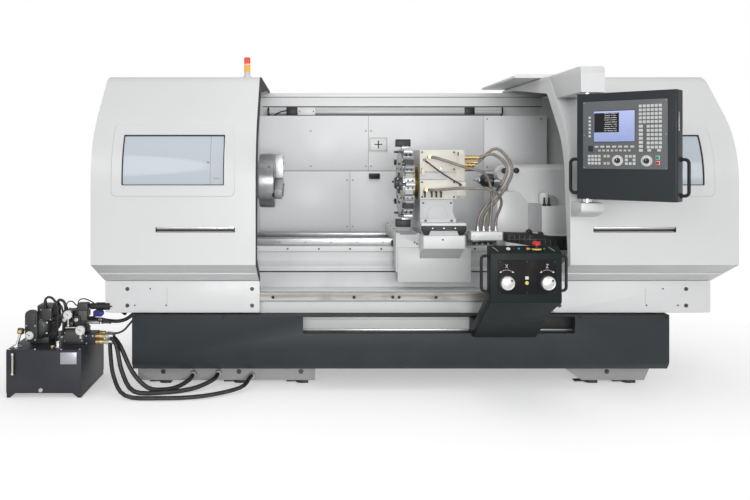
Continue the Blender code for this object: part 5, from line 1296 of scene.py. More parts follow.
# Cross slide, stand and turret head
cs = Piece("cross_slide_table")
cs.bar("y", [1.868, 0.9153, 2.092, 0.9153, 2.092, 0.9524, 2.11, 0.9524, 2.11, 0.9853, 1.85, 0.9853, 1.85,
    0.9524, 1.868, 0.9524], 0.214, 0.78, CASTING, 0.002)
cs.bar("y", [1.868, 0.916, 1.893, 0.916, 1.903, 0.942, 2.057, 0.942, 2.067, 0.916, 2.092, 0.916, 2.11,
    0.944, 2.11, 0.97, 1.85, 0.97, 1.85, 0.944], 0.21, 0.22, BLACK, 0.001)
cs.slab(1.85, 2.11, 0.2102, 0.216, 0.9705, 0.9853, WHITE, 0.001)
studs(cs, SOCKET, 0.004, [(1.915, 0.21, 0.957), (2.045, 0.21, 0.957), (1.98, 0.21, 0.957)], AHEAD, ZINC, 13)
cs.done("cross_carrier", "cross_slide")
stand = Piece("turret_column")
stand.bar("y", [1.85, 0.9856, 2.06, 0.9856, 2.06, 1.011, 2.048, 1.027, 2.042, 1.06, 2.048, 1.1206, 1.85,
    1.1206], 0.262, 0.6, CASTING, 0.003)
stand.slab(1.85, 2.06, 0.25, 0.264, 0.9856, 1.008, CASTING, 0.002)
stand.lathed("y", (1.95, 1.03), [0.2628, 0.06, 0.26, 0.058, 0.26, 0.0], 40, CASTING, 0.001)
studs(stand, SOCKET, 0.0075, [(1.88, 0.25, 0.997), (2.032, 0.25, 0.997)], AHEAD, OILED, 14)
studs(stand, SOCKET, 0.006, [(1.868, 0.262, 1.1), (2.03, 0.262, 1.1)], AHEAD, OILED, 15)
stand.done("cross_carrier", "turret_stand")

head = Piece("turret_head_box")
front = [(0.25, 1.1212), (0.25, 1.234), (0.262, 1.238), (0.262, 1.279), (0.25, 1.283), (0.25, 1.402),
    (0.258, 1.4099), (0.612, 1.4099), (0.62, 1.402), (0.62, 1.13), (0.612, 1.1212)]
head.bar("x", front, HX0, HX1, CREAM, 0.002)
head.slab(HX1 - 0.002, HX1 + 0.068, 0.34, 0.55, 1.123, 1.4, CREAM, 0.004)
head.slab(HX1 - 0.006, HX1 + 0.044, 0.25, 0.29, 1.37, 1.4099, CREAM, 0.002)
head.slab(HX1 + 0.006, HX1 + 0.014, 0.2492, 0.251, 1.376, 1.398, BLACK)
head.slab(HX1 - 0.004, HX1 + 0.058, 0.256, 0.35, 1.14, 1.224, CREAM, 0.006)
head.slab(HX0 + 0.002, HX0 + 0.15, 0.252, 0.2625, 1.24, 1.277, CASTING)
head.bar("y", round_box(HX0 + 0.01, HX0 + 0.028, 1.262, 1.3, 0.006), 0.244, 0.251, CREAM, 0.001)
for x in (HX0 + 0.026, HX0 + 0.066, HX0 + 0.093, HX0 + 0.12):
    head.lathed("y", (x, 1.166), [0.2505, 0.0085, 0.24, 0.0085, 0.24, 0.006, 0.236, 0.006], 12, OILED)
    head.tube([at(x, 0.24, 1.166), at(x, 0.233, 1.162), at(x, 0.231, 1.15), at(x, 0.232, 1.134)], 0.0052,
        10, BLACK)
for x, z in ((HX0 + 0.04, 1.34), (HX0 + 0.12, 1.3)):
    head.lathed("y", (x, z), [0.2505, 0.006, 0.247, 0.005], 14, ZINC)
studs(head, SOCKET, 0.006,
    [(x, 0.25, z) for x in (HX0 + 0.012, HX1 - 0.014) for z in (1.136, 1.222, 1.296, 1.396)], AHEAD, OILED,
    16)
# Brass unions at the rear ports
for k, (y, z) in enumerate(((0.3705, 1.3645), (0.4105, 1.3345), (0.3705, 1.32), (0.45, 1.3645),
        (0.4105, 1.295))):
    p0 = at(HX1 + 0.0675, y, z)
    for a, b, r, sides in ((0, 0.012, 0.016, 6), (0.01, 0.054, 0.0095, 14), (0.026, 0.038, 0.0145, 6),
            (0.054, 0.066, 0.013, 6)):
        if k > 1 or b < 0.06:
            head.tube([p0 + Vector((a, 0, 0)), p0 + Vector((b, 0, 0))], r, sides, BRASS, 0.0008, 1)
head.lathed("x", (0.4, 1.2116), [1.8053, 0.07, 1.812, 0.085, 1.83, 0.085, 1.848, 0.105, 1.85, 0.105], 40,
    BRASS)
head.done("cross_carrier", "turret_head")
# Thin dark line across the head's front
route = [at(*p) for p in ((HX0 + 0.026, 0.248, 1.352), (HX0 + 0.045, 0.23, 1.335),
    (HX0 + 0.11, 0.224, 1.285), (HX0 + 0.18, 0.228, 1.24), (HX0 + 0.232, 0.24, 1.212),
    (HX0 + 0.236, 0.2556, 1.205))]
lube = Piece("turret_lube_line").tube(soft_run(route, 4), 0.0042, 10, HOSE)
lube.lathed("y", (HX0 + 0.026, 1.352), [0.2505, 0.009, 0.243, 0.009, 0.243, 0.0065, 0.238, 0.0065], 12,
    OILED)
lube.lathed("y", (HX0 + 0.236, 1.205), [0.2565, 0.009, 0.25, 0.009, 0.25, 0.0065, 0.244, 0.0065], 12, OILED)
lube.done("cross_carrier", slot="black_rubber")

# Tool disc with a clamped tool on every facet
TY, TZ = 0.4, 1.2116
BRIGHT = brushed("bright_tool_steel", (0.54, 0.55, 0.56), 0.4, (0.15, 1, 1), 0.9, 0.35)
tools = Piece("turret_disc")
tools.lathed("x", (TY, TZ), [1.745, 0.06, 1.745, 0.15, 1.7465, 0.152, 1.7465, 0.176, 1.745, 0.178, 1.745,
    0.19, 1.747, 0.192, 1.753, 0.192, 1.753, 0.178, 1.804, 0.178, 1.805, 0.176, 1.805, 0.06], 48, TURNED)
tools.lathed("x", (TY, TZ), [1.715, 0.0, 1.715, 0.03, 1.719, 0.034, 1.733, 0.036, 1.734, 0.062, 1.746,
    0.064], 36, OILED, 0.0006)
ring_of(tools, lathed("x", (TY, TZ + 0.05), [1.7345, 0.006, 1.729, 0.006, 1.7285, 0.005], 12), 6, TY, TZ,
    ZINC)
ring_of(tools, lathed("x", (TY, TZ + 0.12), [1.746, 0.007, 1.7415, 0.007, 1.7405, 0.0058], 12), 12, TY, TZ,
    OILED, pi / 12)
ring_of(tools, lathed("x", (TY, TZ + 0.092), [1.746, 0.0045, 1.7395, 0.003, 1.739, 0.0], 10), 12, TY, TZ,
    BRASS)
# Clamp block, drawn at the top and repeated
ring_of(tools, eased(slab(1.754, 1.812, TY - 0.036, TY + 0.036, TZ + 0.168, TZ + 0.202), 0.0025), 12, TY,
    TZ, BRIGHT)
ring_of(tools, slab(1.7525, 1.76, TY - 0.044, TY + 0.044, TZ + 0.16, TZ + 0.18), 12, TY, TZ, OILED)
for y in (-0.022, 0.022):
    ring_of(tools,
        lathed("z", (1.772, TY + y), [TZ + 0.2018, 0.0062, TZ + 0.207, 0.0062, TZ + 0.2078, 0.0052,
        TZ + 0.2078, 0.003, TZ + 0.2045, 0.003], 12), 12, TY, TZ, OILED)
    ring_of(tools,
        lathed("z", (1.798, TY + y), [TZ + 0.2018, 0.0062, TZ + 0.207, 0.0062, TZ + 0.2078, 0.0052,
        TZ + 0.2078, 0.003, TZ + 0.2045, 0.003], 12), 12, TY, TZ, OILED)
# Square holders on every second facet, with a shank and a small insert
ring_of(tools, eased(slab(1.756, 1.804, TY - 0.03, TY + 0.024, TZ + 0.2015, TZ + 0.238), 0.002), 6, TY, TZ,
    BRIGHT)
shank = bar("y", [1.737, TZ + 0.23, 1.737, TZ + 0.253, 1.745, TZ + 0.261, 1.802, TZ + 0.261, 1.802,
    TZ + 0.233, 1.746, TZ + 0.233], TY - 0.012, TY + 0.012)
ring_of(tools, eased(shank, 0.001, 1), 6, TY, TZ, OILED)
insert = bar("y", [1.7345, TZ + 0.258, 1.74, TZ + 0.25, 1.75, TZ + 0.253, 1.745, TZ + 0.262], TY - 0.0135,
    TY - 0.008)
ring_of(tools, insert, 6, TY, TZ, BRASS)
for x in (1.766, 1.79):
    ring_of(tools,
        lathed("y", (x, TZ + 0.222), [TY - 0.0298, 0.0052, TY - 0.0345, 0.0052, TY - 0.035, 0.0044], 12),
        6, TY, TZ, OILED)
# Round holders for boring bars on the facets between
barrel = lathed("x", (TY, TZ + 0.216), [1.756, 0.015, 1.7575, 0.017, 1.808, 0.017, 1.81, 0.015], 20)
ring_of(tools, barrel, 6, TY, TZ, BRIGHT, pi / 6)
ring_of(tools, lathed("x", (TY, TZ + 0.216), [1.725, 0.0, 1.725, 0.006, 1.756, 0.0085, 1.757, 0.0085], 14),
    6, TY, TZ, OILED, pi / 6)
ring_of(tools, eased(slab(1.723, 1.81, TY - 0.033, TY + 0.033, TZ + 0.218, TZ + 0.2625), 0.004), 2, TY, TZ,
    BLACK)
tools.done("turret", "tool_disc", edge=30)

# Chuck
AY, AZ = 0.75, 1.216
chuck = Piece("spindle_chuck")
drum = lathed("x", (AY, AZ), [0.884, 0.046, 0.884, 0.116, 0.885, 0.12, 0.885, 0.168, 0.888, 0.172, 0.9,
    0.172, 0.9, 0.175, 0.918, 0.175, 0.9185, 0.1735, 0.9235, 0.1735, 0.924, 0.175, 0.978, 0.175, 0.984,
    0.169, 0.984, 0.12, 0.9825, 0.118, 0.9825, 0.09, 0.984, 0.088, 0.984, 0.052, 0.98, 0.046], 96)
bmesh.ops.delete(drum, geom=[f for f in drum.faces if len(f.verts) > 4], context="FACES_ONLY")
rims = [e for e in drum.edges if e.is_boundary]
bmesh.ops.bridge_loops(drum, edges=rims)
grooves = []
for k in range(3):
    groove = slab(0.97, 1.0, AY + 0.048, AY + 0.18, AZ - 0.0145, AZ + 0.0145)
    groove.transform(spun(radians(90 + 120 * k), "X", (0, AY, AZ)))
    grooves.append(groove)
chuck.take(carved(drum, *grooves), TURNED)
for k in range(3):
    t = spun(radians(90 + 120 * k), "X", (0, AY, AZ))
    master = bar("z", [0.9705, AY + 0.056, 0.995, AY + 0.056, 0.995, AY + 0.17, 0.9705, AY + 0.17],
        AZ - 0.0138, AZ + 0.0138)
    chuck.take(master, OILED, 0.001, turn=t)
    jaw = bar("z", [0.9855, AY + 0.024, 1.038, AY + 0.024, 1.038, AY + 0.092, 1.0355, AY + 0.094, 1.0355,
        AY + 0.13, 1.033, AY + 0.132, 1.033, AY + 0.168, 1.03, AY + 0.1715, 0.9855, AY + 0.1715],
        AZ - 0.032, AZ + 0.032)
    chuck.take(jaw, BRIGHT, 0.0015, turn=t)
    for r, x in ((0.06, 1.0382), (0.111, 1.0357), (0.15, 1.0332)):
        chuck.lathed("x", (AY + r, AZ), [x - 0.0005, 0.0085, x + 0.002, 0.0085, x + 0.0026, 0.0078,
            x + 0.0026, 0.0048, x - 0.0015, 0.0048], 20, OILED, turn=t)
    for n in range(9):
        y = AY + 0.06 + 0.012 * n
        for s in (-1, 1):
            chuck.slab(0.9842, 0.9865, y, y + 0.006, AZ + s * 0.036 - 0.003, AZ + s * 0.036 + 0.003, OILED,
                turn=t)
ring_of(chuck, lathed("x", (AY + 0.108, AZ), [0.9835, 0.01, 0.9865, 0.01, 0.9875, 0.009, 0.9875, 0.0055,
    0.9845, 0.0055], 18), 6, AY, AZ, OILED, pi / 6)
ring_of(chuck,
    lathed("z", (0.95, AY), [AZ + 0.1735, 0.0075, AZ + 0.1752, 0.0075, AZ + 0.1752, 0.0045, AZ + 0.171,
    0.0045], 16), 3, AY, AZ, OILED, pi / 3)
chuck.done("spindle", "chuck", edge=30)

# Tailstock
# Tailstock in the lightened casting paint: painted light against the shade it sits in
tail = Piece("tailstock_body")
K0, K1 = 2.44, 2.88
tail.take(carved(bar("x", [0.5, 0.8163, 1.0, 0.8163, 1.0, 0.886, 0.93, 0.946, 0.872, 1.15, 0.868, 1.29,
    0.845, 1.306, 0.655, 1.306, 0.632, 1.29, 0.628, 1.15, 0.57, 0.946, 0.5, 0.886], K0 + 0.02, K1),
    *ways(2.3, 3.0)), CAST_LIGHTENED_FOR_SHADE, 0.006, 3)
tail.take(carved(lathed("x", (AY, AZ), [K0 - 0.006, 0.09, K0, 0.1, K0 + 0.06, 0.104, K1 - 0.02, 0.104, K1,
    0.1, K1 + 0.006, 0.08], 48), lathed("x", (AY, AZ), [K0 - 0.05, 0.052, K0 + 0.36, 0.052], 48)),
    CAST_LIGHTENED_FOR_SHADE, 0.002)
# Chip guard, clamp box and drive box in front of the body
for shape, finish in ((bar("y", [K0 - 0.08, 0.82, K0 + 0.113, 0.82, K0 + 0.113, 1.082, K0 + 0.054, 1.152,
        K0 - 0.08, 1.152], 0.501, 0.628), WHITE), (slab(K0 + 0.116, K0 + 0.195, 0.52, 0.64, 0.82, 1.077),
        SHADE), (slab(K0 + 0.197, K0 + 0.417, 0.505, 0.62, 0.82, 1.066), CAST_LIGHTENED_FOR_SHADE)):
    tail.take(carved(shape, *ways(2.3, 3.0)), finish, 0.004)
tail.lathed("z", (K0 + 0.227, 0.56), [1.065, 0.03, 1.125, 0.03, 1.143, 0.024, 1.15, 0.0], 28, PALE)
tail.lathed("y", (K0 + 0.27, 1.09), [0.548, 0.04, 0.62, 0.04], 32, SHADE, 0.002)
for x in (K0 + 0.214, K0 + 0.242):
    tail.lathed("z", (x, 0.515), [1.0655, 0.012, 1.078, 0.012, 1.079, 0.007, 1.118, 0.005, 1.119, 0.0], 14,
        BLACK)
tail.lathed("y", (K0 - 0.016, 1.266), [0.588, 0.044, 0.59, 0.046, 0.662, 0.046], 40, CAST_LIGHTENED_FOR_SHADE)
for x, z, y in ((K0 - 0.02, 1.282, 0.588), (K0 + 0.072, 1.282, 0.655), (K0 + 0.108, 0.908, 0.501),
        (K0 + 0.179, 0.893, 0.506)):
    tail.lathed("y", (x, z), [y + 0.001, 0.01, y - 0.016, 0.01, y - 0.018, 0.0175, y - 0.036, 0.0175,
        y - 0.04, 0.013], 24, BLACK, 0.0008)
studs(tail, SOCKET, 0.008, [(x, 0.5, 0.845) for x in (K0 + 0.06, K0 + 0.2, K0 + 0.4)], AHEAD, OILED, 17)
studs(tail, HEXHEAD, 0.012, [(x, y, 0.886) for x in (K0 + 0.06, K0 + 0.4) for y in (0.52, 0.98)], UP,
    OILED, 18)
studs(tail, SOCKET, 0.005, [(K0 - 0.006, *spot) for spot in disc_line(AY, AZ, 0.076, 6)], (-1, 0, 0),
    OILED, 19)
tail.done("tail", "tailstock")
quill = Piece("live_centre")
Q0 = K0 - 0.178
quill.lathed("x", (AY, AZ), [Q0, 0.0, Q0 + 0.036, 0.0205, Q0 + 0.0365, 0.022, Q0 + 0.044, 0.022], 32,
    CHROME)
quill.lathed("x", (AY, AZ), [Q0 + 0.0435, 0.024, Q0 + 0.05, 0.024, Q0 + 0.056, 0.033, Q0 + 0.066, 0.04,
    Q0 + 0.069, 0.042, Q0 + 0.12, 0.044, Q0 + 0.122, 0.04, Q0 + 0.129, 0.04, Q0 + 0.13, 0.035], 36, OILED)
quill.lathed("x", (AY, AZ), [Q0 + 0.129, 0.0455, Q0 + 0.13, 0.0465, K0 - 0.029, 0.0465, K0 - 0.0285, 0.051,
    K0 + 0.33, 0.051], 40, TURNED)
quill.done("quill_body", "quill")

# Cable chain that lies beside the bed, behind the console
chain = Piece("cable_chain")
C0, C1 = 2.386, 2.884
chain.bar("y", [C0, 0.858, C0 + 0.18, 0.83, C0 + 0.18, 0.8085, C1, 0.8085, C1, 0.889, C0 + 0.275, 0.889,
    C0 + 0.16, 0.908, C0, 0.912], 0.385, 0.455, RUBBER, 0.003)
for k in range(16):
    x = C0 + 0.016 + 0.031 * k
    top = 0.912 if x < C0 + 0.16 else 0.889
    lowest = max(0.822, 0.866 - 0.17 * (x - C0))
    chain.slab(x, x + 0.004, 0.3825, 0.3855, lowest, top - 0.012, OILED, 0.0006)
chain.slab(C0 + 0.004, C1 - 0.004, 0.3815, 0.3852, 0.872, 0.872 + 0.004, OILED, 0.0006)
chain.bar("y", [C0, 0.808, C0 + 0.179, 0.808, C0 + 0.179, 0.8298, C0, 0.8575], 0.386, 0.45, WHITE, 0.001)
chain.slab(C0, C1, 0.39, 0.52, 0.795, 0.8088, SHEET, 0.001)
chain.done("frame", slot="black_rubber")

# Fixed parts: bed with its ways, tray, feet, rail and rear
GUIDE = brushed("ground_ways", (0.42, 0.425, 0.43), 0.3, (0.012, 1, 1), 0.8, 0.5)
WEDGE = cast("black_wedge", (0.03, 0.03, 0.03), 0.5)
SEAM = moulded("dark_seam", (0.035, 0.036, 0.038), 0.7)
DULL = cast("dull_screws", (0.3, 0.3, 0.31), 0.55)
# Bed in the lightened casting paint: painted light against the shade inside the guard
bed = Piece("machine_bed")
bed.bar("x", [0.52, 0.4453, 0.98, 0.4453, 0.98, 0.816, 0.89, 0.816, 0.88, 0.756, 0.62, 0.756, 0.61, 0.816,
    0.526, 0.816, 0.52, 0.81, 0.52, 0.786, 0.54, 0.776, 0.54, 0.68, 0.52, 0.67], 0.12, 3.44, CAST_LIGHTENED_FOR_SHADE,
    0.0015)
for y0, y1 in ((0.55, 0.61), (0.89, 0.965)):
    bed.bar("x", [y0, 0.815, y0, 0.859, y0 + 0.003, 0.862, y1 - 0.003, 0.862, y1, 0.859, y1, 0.815], 0.122,
        3.438, GUIDE, 0.0006)
bed.slab(0.125, 3.435, 0.5385, 0.5405, 0.69, 0.725, CASTING, 0.0005)
studs(bed, SOCKET, 0.006, [(0.3 + 0.1926 * k, 0.52, 0.8) for k in range(16)], AHEAD, OILED, 20)
studs(bed, SOCKET, 0.0045, [(0.22 + 0.16 * k, 0.55, 0.838) for k in range(20)], AHEAD, OILED, 21)
bed.done("frame", "bed_casting")
chute = Piece("chip_slope")
chute.bar("x", [0.4703, 0.4453, 0.5197, 0.4453, 0.5197, 0.66, 0.505, 0.666, 0.4703, 0.582], 0.86, 2.88,
    CASTING, 0.001)
chute.bar("x", [0.5009, 0.659, 0.504, 0.6662, 0.506, 0.6662, 0.506, 0.659], 0.862, 2.878, SEAM)
chute.done("frame", "chip_chute")
lower = Piece("lower_front_panel")
for x0, x1 in ((0.02, 0.907), (0.9085, 2.637), (2.6385, 3.545)):
    lower.slab(x0, x1, 0.327, 0.47, 0.4453, 0.575, WHITE, 0.002)
lower.done("frame", "front_panel")
track = Piece("door_track")
RAIL_BOLTS = (0.272, 0.511, 0.989, 1.467, 1.696, 1.733, 1.951, 2.43, 2.91, 3.39)
for x0, x1 in ((0.06, 1.713), (1.714, 3.505)):
    sinks = [lathed("y", (x, 0.541), [0.3, 0.0095, 0.313, 0.0095], 20) for x in RAIL_BOLTS if x0 < x < x1]
    track.take(carved(bar("x", [0.3053, 0.519, 0.3053, 0.5685, 0.3075, 0.572, 0.3267, 0.572, 0.3267, 0.516,
        0.3075, 0.516], x0, x1), *sinks), RAIL, 0.0008)
studs(track, SOCKET, 0.0088, [(x, 0.3125, 0.541) for x in RAIL_BOLTS], AHEAD, BLACK, 22)
track.done("frame", "door_rail")

tray = Piece("coolant_tray")
tray.take(carved(bar("x", [0.27, 0.165, 0.276, 0.152, 0.3, 0.1215, 0.306, 0.12, 1.44, 0.12, 1.44, 0.445,
    0.27, 0.445], 0.165, 3.311), slab(1.166, 2.758, 0.2, 0.335, 0.336, 0.434)), SLATE, 0.0025)
# Back of the slot: pale left of x 2.25; to the right a black sheet that is painted shade, where the slot
# lies dark behind the console
for x0, x1, finish in ((1.1665, 2.25, CARRIAGE), (2.25, 2.7575, BLACK)):
    tray.slab(x0, x1, 0.333, 0.3349, 0.3365, 0.4335, finish, 0.0004)
tray.slab(1.167, 2.24, 0.3325, 0.3332, 0.404, 0.406, SHADE)
tray.slab(1.167, 2.757, 0.319, 0.333, 0.337, 0.35, GUIDE, 0.001)
for z in (0.3362, 0.4312):
    tray.slab(1.1665, 2.7575, 0.2708, 0.2735, z, z + 0.0022, CASE)
for x in (0.1645, 3.3115):
    tray.slab(x, x + 0.0015, 0.6, 1.1, 0.2, 0.38, SLATE, 0.0005)
tray.lathed("x", (0.8, 0.155), [0.1655, 0.022, 0.15, 0.022, 0.149, 0.02], 8, ZINC)
tray.lathed("x", (0.8, 0.155), [3.3105, 0.022, 3.326, 0.022, 3.327, 0.02], 8, ZINC)
studs(tray, SOCKET, 0.0055, [(x, 0.27, 0.433) for x in (0.185, 0.7, 1.14, 2.785, 3.291)], AHEAD, CASE, 23)
tray.done("frame", "base_tray")


def feet(name, node, outline, y0, y1, bolts, pads):
    piece = Piece(name)
    # The plinth's dark enamel is painted shade from the tray above
    piece.bar("y", outline, y0, y1, FOOT_SHADED_PAINT, 0.003)
    studs(piece, HEXHEAD, 0.0105, [(x, y0, z) for x, z in bolts], AHEAD, OILED, 24)
    studs(piece, HEXHEAD, 0.0105, [(x, y1, z) for x, z in bolts], (0, 1, 0), OILED, 25)
    for x in pads:
        for y in (y0 + 0.06, y1 - 0.06):
            piece.bar("y", [x - 0.014, 0.0, x + 0.038, 0.0, x + 0.038, 0.024, x - 0.012, 0.019], y - 0.036,
                y + 0.036, WEDGE, 0.0015)
            piece.bar("y", [x - 0.095, 0.004, x - 0.012, 0.006, x - 0.012, 0.015, x - 0.095, 0.011],
                y - 0.02, y + 0.02, WEDGE, 0.001)
            piece.lathed("z", (x, y), [0.0, 0.038, 0.01, 0.038, 0.012, 0.035, 0.012, 0.018, 0.03, 0.018],
                28, WEDGE)
    return piece.done("frame", node)


feet("left_plinth", "left_foot", [(0.172, 0.024), (1.238, 0.024), (1.238, 0.1197), (0.172, 0.1197)], 0.4,
    1.2, [(0.3245, 0.0765), (0.78, 0.0765), (1.1536, 0.0765)],
    [0.172 + 1.066 * f for f in (0.148, 0.57, 0.926)])
feet("right_plinth", "right_foot", [(2.845, 0.024), (3.22, 0.024), (3.262, 0.1197), (2.707, 0.1197)], 0.4,
    1.2, [(2.995, 0.0765)], (2.91, 3.14))

wall = Piece("rear_wall_sheets")
wall.slab(0.8503, 2.8997, 1.256, 1.3697, 0.82, 1.66, SEAM)
# The wall panels' lighter inner white is painted light against the shade of the hoods and bed
for x0, x1, z0, z1 in ((0.8503, 1.6262, 1.268, 1.66), (1.6278, 2.4502, 1.268, 1.66),
        (2.4518, 2.8997, 1.268, 1.66), (0.8503, 1.4942, 0.82, 1.2645), (1.4958, 2.4502, 0.82, 1.2645),
        (2.4518, 2.8997, 0.82, 1.2645)):
    wall.slab(x0, x1, 1.25, 1.258, z0, z1, INNER_WHITE_LIFTED, 0.001)
wall.bar("y", round_box(1.629, 1.707, 1.21, 1.249, 0.006), 1.234, 1.2505, BLACK, 0.002)
wall.slab(1.64, 1.696, 1.23, 1.2345, 1.225, 1.233, CASE, 0.001)
wall.slab(1.629, 1.765, 1.245, 1.2505, 1.4035, 1.507, WHITE, 0.001)
for x0, x1, z0, z1 in ((1.636, 1.758, 1.4085, 1.4105), (1.636, 1.758, 1.5, 1.502),
        (1.636, 1.638, 1.4085, 1.502), (1.756, 1.758, 1.4085, 1.502), (1.693, 1.701, 1.427, 1.484),
        (1.668, 1.726, 1.452, 1.459)):
    wall.slab(x0, x1, 1.244, 1.2452, z0, z1, BLACK)
studs(wall, SOCKET, 0.0055,
    [(x, 1.25, z) for x, z in ((1.2157, 1.552), (1.608, 1.552), (1.645, 1.552), (1.2157, 1.3),
    (1.608, 1.3), (1.645, 1.3), (2.4726, 1.637), (2.8578, 1.637), (2.8578, 1.294), (2.4726, 1.294),
    (1.515, 1.2), (1.475, 1.2), (1.515, 0.87), (1.475, 0.87))], AHEAD, DULL, 26)
wall.done("frame", "rear_wall")
splash = Piece("rear_chip_guard")
splash.bar("x", [0.9803, 0.79, 1.2497, 0.812, 1.2497, 0.836, 1.242, 0.836, 0.9803, 0.812], 0.8703, 2.8797,
    SHEET, 0.0008)
studs(splash, SOCKET, 0.005, [(0.95 + 0.2 * k, 1.239, 0.833) for k in range(10)], (0, -0.09, 1), ZINC, 27)
splash.done("frame", "rear_guard")

lamp = Piece("lamp_beam")
L0, L1 = 0.905, 2.6
lamp.bar("x", [1.3697, 1.7283, 1.2897, 1.7283, 1.2897, 1.723, 1.296, 1.72, 1.3697, 1.72], L0, L1, WHITE,
    0.001)
lamp.bar("x", [1.2925, 1.7215, 1.2925, 1.68, 1.3297, 1.661, 1.3697, 1.661, 1.3697, 1.7215], L0 + 0.012,
    L1 - 0.012, lit("lamp_cover", (0.64, 0.65, 0.66), 0.05), 0.002)
for x in (L0, L1 - 0.013):
    lamp.bar("x", [1.291, 1.7225, 1.291, 1.679, 1.3297, 1.6603, 1.3697, 1.6603, 1.3697, 1.7225], x,
        x + 0.013, BLACK, 0.001)
for k in range(3):
    lamp.bar("x", [1.2918, 1.712 - 0.011 * k, 1.2918, 1.7085 - 0.011 * k, 1.2935, 1.7085 - 0.011 * k,
        1.2935, 1.712 - 0.011 * k], L0 + 0.013, L1 - 0.013, SHADE)
lamp.slab(1.04, 1.12, 1.2897, 1.32, 1.67, 1.726, BLACK, 0.003)
lamp.slab(1.122, 1.248, 1.2899, 1.32, 1.665, 1.725, WHITE, 0.003)
lamp.tube([at(0.955, 1.295, 1.668), at(1.0, 1.295, 1.69), at(1.042, 1.295, 1.7)], 0.006, 10, OILED)
lamp.slab(2.32, 2.395, 1.2897, 1.32, 1.672, 1.724, BLACK, 0.003)
lamp.slab(0.8703, 2.8797, 1.2875, 1.2896, 1.724, 1.73, SEAM)
studs(lamp, SOCKET, 0.0045, [(x, 1.2899, 1.695) for x in (1.135, 1.235)], AHEAD, OILED, 28)
lamp.done("frame", "work_light")

back = Piece("rear_cabinet_doors")
back.slab(0.02, 3.545, 1.37, 1.46, 0.4453, 1.8312, WHITE, 0.003)
back.slab(0.04, 3.525, 1.368, 1.3705, 1.803, 1.83, WHITE, 0.0008)
back.slab(0.04, 3.525, 1.369, 1.3705, 1.7995, 1.803, SEAM)
DOOR_W = (3.565 - 0.04 - 0.09) / 4
for k in range(4):
    x0 = 0.065 + DOOR_W * k + 0.004
    x1 = x0 + DOOR_W - 0.008
    leaf = slab(x0, x1, 1.458, 1.463, 0.4903, 1.7862)
    back.take(leaf, WHITE, 0.0015)
    back.slab(x0 - 0.003, x1 + 0.003, 1.4595, 1.4604, 0.4873, 1.7892, SEAM)
    lx = x0 + 0.04 if k % 2 else x1 - 0.04
    back.bar("y", round_box(lx - 0.012, lx + 0.012, 1.1032, 1.1732, 0.008), 1.4625, 1.4665, BLACK, 0.001)
    back.lathed("y", (lx, 1.15), [1.466, 0.008, 1.468, 0.008, 1.468, 0.0], 20, ZINC)
    hx = x1 - 0.012 if k % 2 else x0 + 0.012
    for z in (0.64, 1.64):
        back.lathed("z", (hx, 1.464), [z - 0.03, 0.004, z + 0.03, 0.004], 12, ZINC)
    if k in (0, 3):
        mid = (x0 + x1) / 2
        for n in range(7):
            z = 1.6662 - 0.024 * n
            back.bar("x", [1.4625, z, 1.4675, z - 0.002, 1.468, z - 0.0085, 1.467, z - 0.009, 1.464,
                z - 0.0045, 1.4625, z - 0.004], mid - 0.12, mid + 0.12, WHITE, 0.0004)
            back.slab(mid - 0.119, mid + 0.119, 1.4626, 1.4634, z - 0.0095, z - 0.0045, SEAM)
back.done("frame", "rear_cabinet")

end_screws = Piece("housing_screws")
for x, s in ((0.015, -1), (3.55, 1)):
    fixings = [(x, y, z) for y in (0.45, 0.8, 1.15) for z in (0.6, 1.755)] + [(x, 0.36, z) for z in (0.62,
        0.95)]
    fixings += [(x, 1.345, z) for z in (0.62, 0.95, 1.28, 1.6)]
    studs(end_screws, SOCKET, 0.0065, fixings, (s, 0, 0), ZINC, 29)
    end_screws.slab(min(x, x + 0.002 * s), max(x, x + 0.002 * s), 0.52, 1.22, 0.66, 1.46, INNER_WHITE_LIFTED, 0.0008)
    studs(end_screws, SOCKET, 0.005,
        [(x + 0.002 * s, y, z) for y in (0.54, 0.87, 1.2) for z in (0.68, 1.44)] + [(x + 0.002 * s, y,
        1.06) for y in (0.54, 1.2)], (s, 0, 0), ZINC, 30)
end_screws.done("frame", slot="white_paint")

tower = Piece("signal_tower")
tower.lathed("z", (0.824, 0.475), [1.8523, 0.026, 1.859, 0.026, 1.8625, 0.022, 1.8665, 0.0185, 1.8885,
    0.018, 1.8893, 0.017], 36, CASTING)
tower.done("left_hood", "tower_base")
light = Piece("signal_lenses")
RED_LENS = lit("red_lens", (0.85, 0.07, 0.03), 0.12)
for z0, z1, finish in ((1.8896, 1.9296, AMBER), (1.9366, 1.9716, RED_LENS)):
    light.bar("z", toothed(0.824, 0.475, (0.0184, 0.019), 72), z0, z1, finish)
light.lathed("z", (0.824, 0.475), [1.9294, 0.0186, 1.93, 0.019, 1.9362, 0.019, 1.9368, 0.0186], 36, PALE)
light.lathed("z", (0.824, 0.475), [1.9714, 0.0188, 1.9722, 0.019, 1.975, 0.017, 1.9772, 0.011, 1.9776,
    0.0], 36, RED_LENS)
light.done("left_hood", "tower_lamps")

# Hydraulic unit
MOTOR = cast("motor_enamel", (0.035, 0.036, 0.036), 0.4)
MOSS = cast("valve_enamel", (0.075, 0.078, 0.066), 0.45)
BLUE = moulded("blue_plug", (0.02, 0.03, 0.22), 0.35)
# Oil sight tube with a faint emission: painted glow, since it is no lamp
OIL_TUBE_PAINTED_GLOW = lit("sight_tube_painted_glow", (0.55, 0.52, 0.36), 0.05)
BARE = brushed("bare_plate", (0.42, 0.43, 0.47), 0.38, (0.05, 1, 1), 0.8, 0.15)


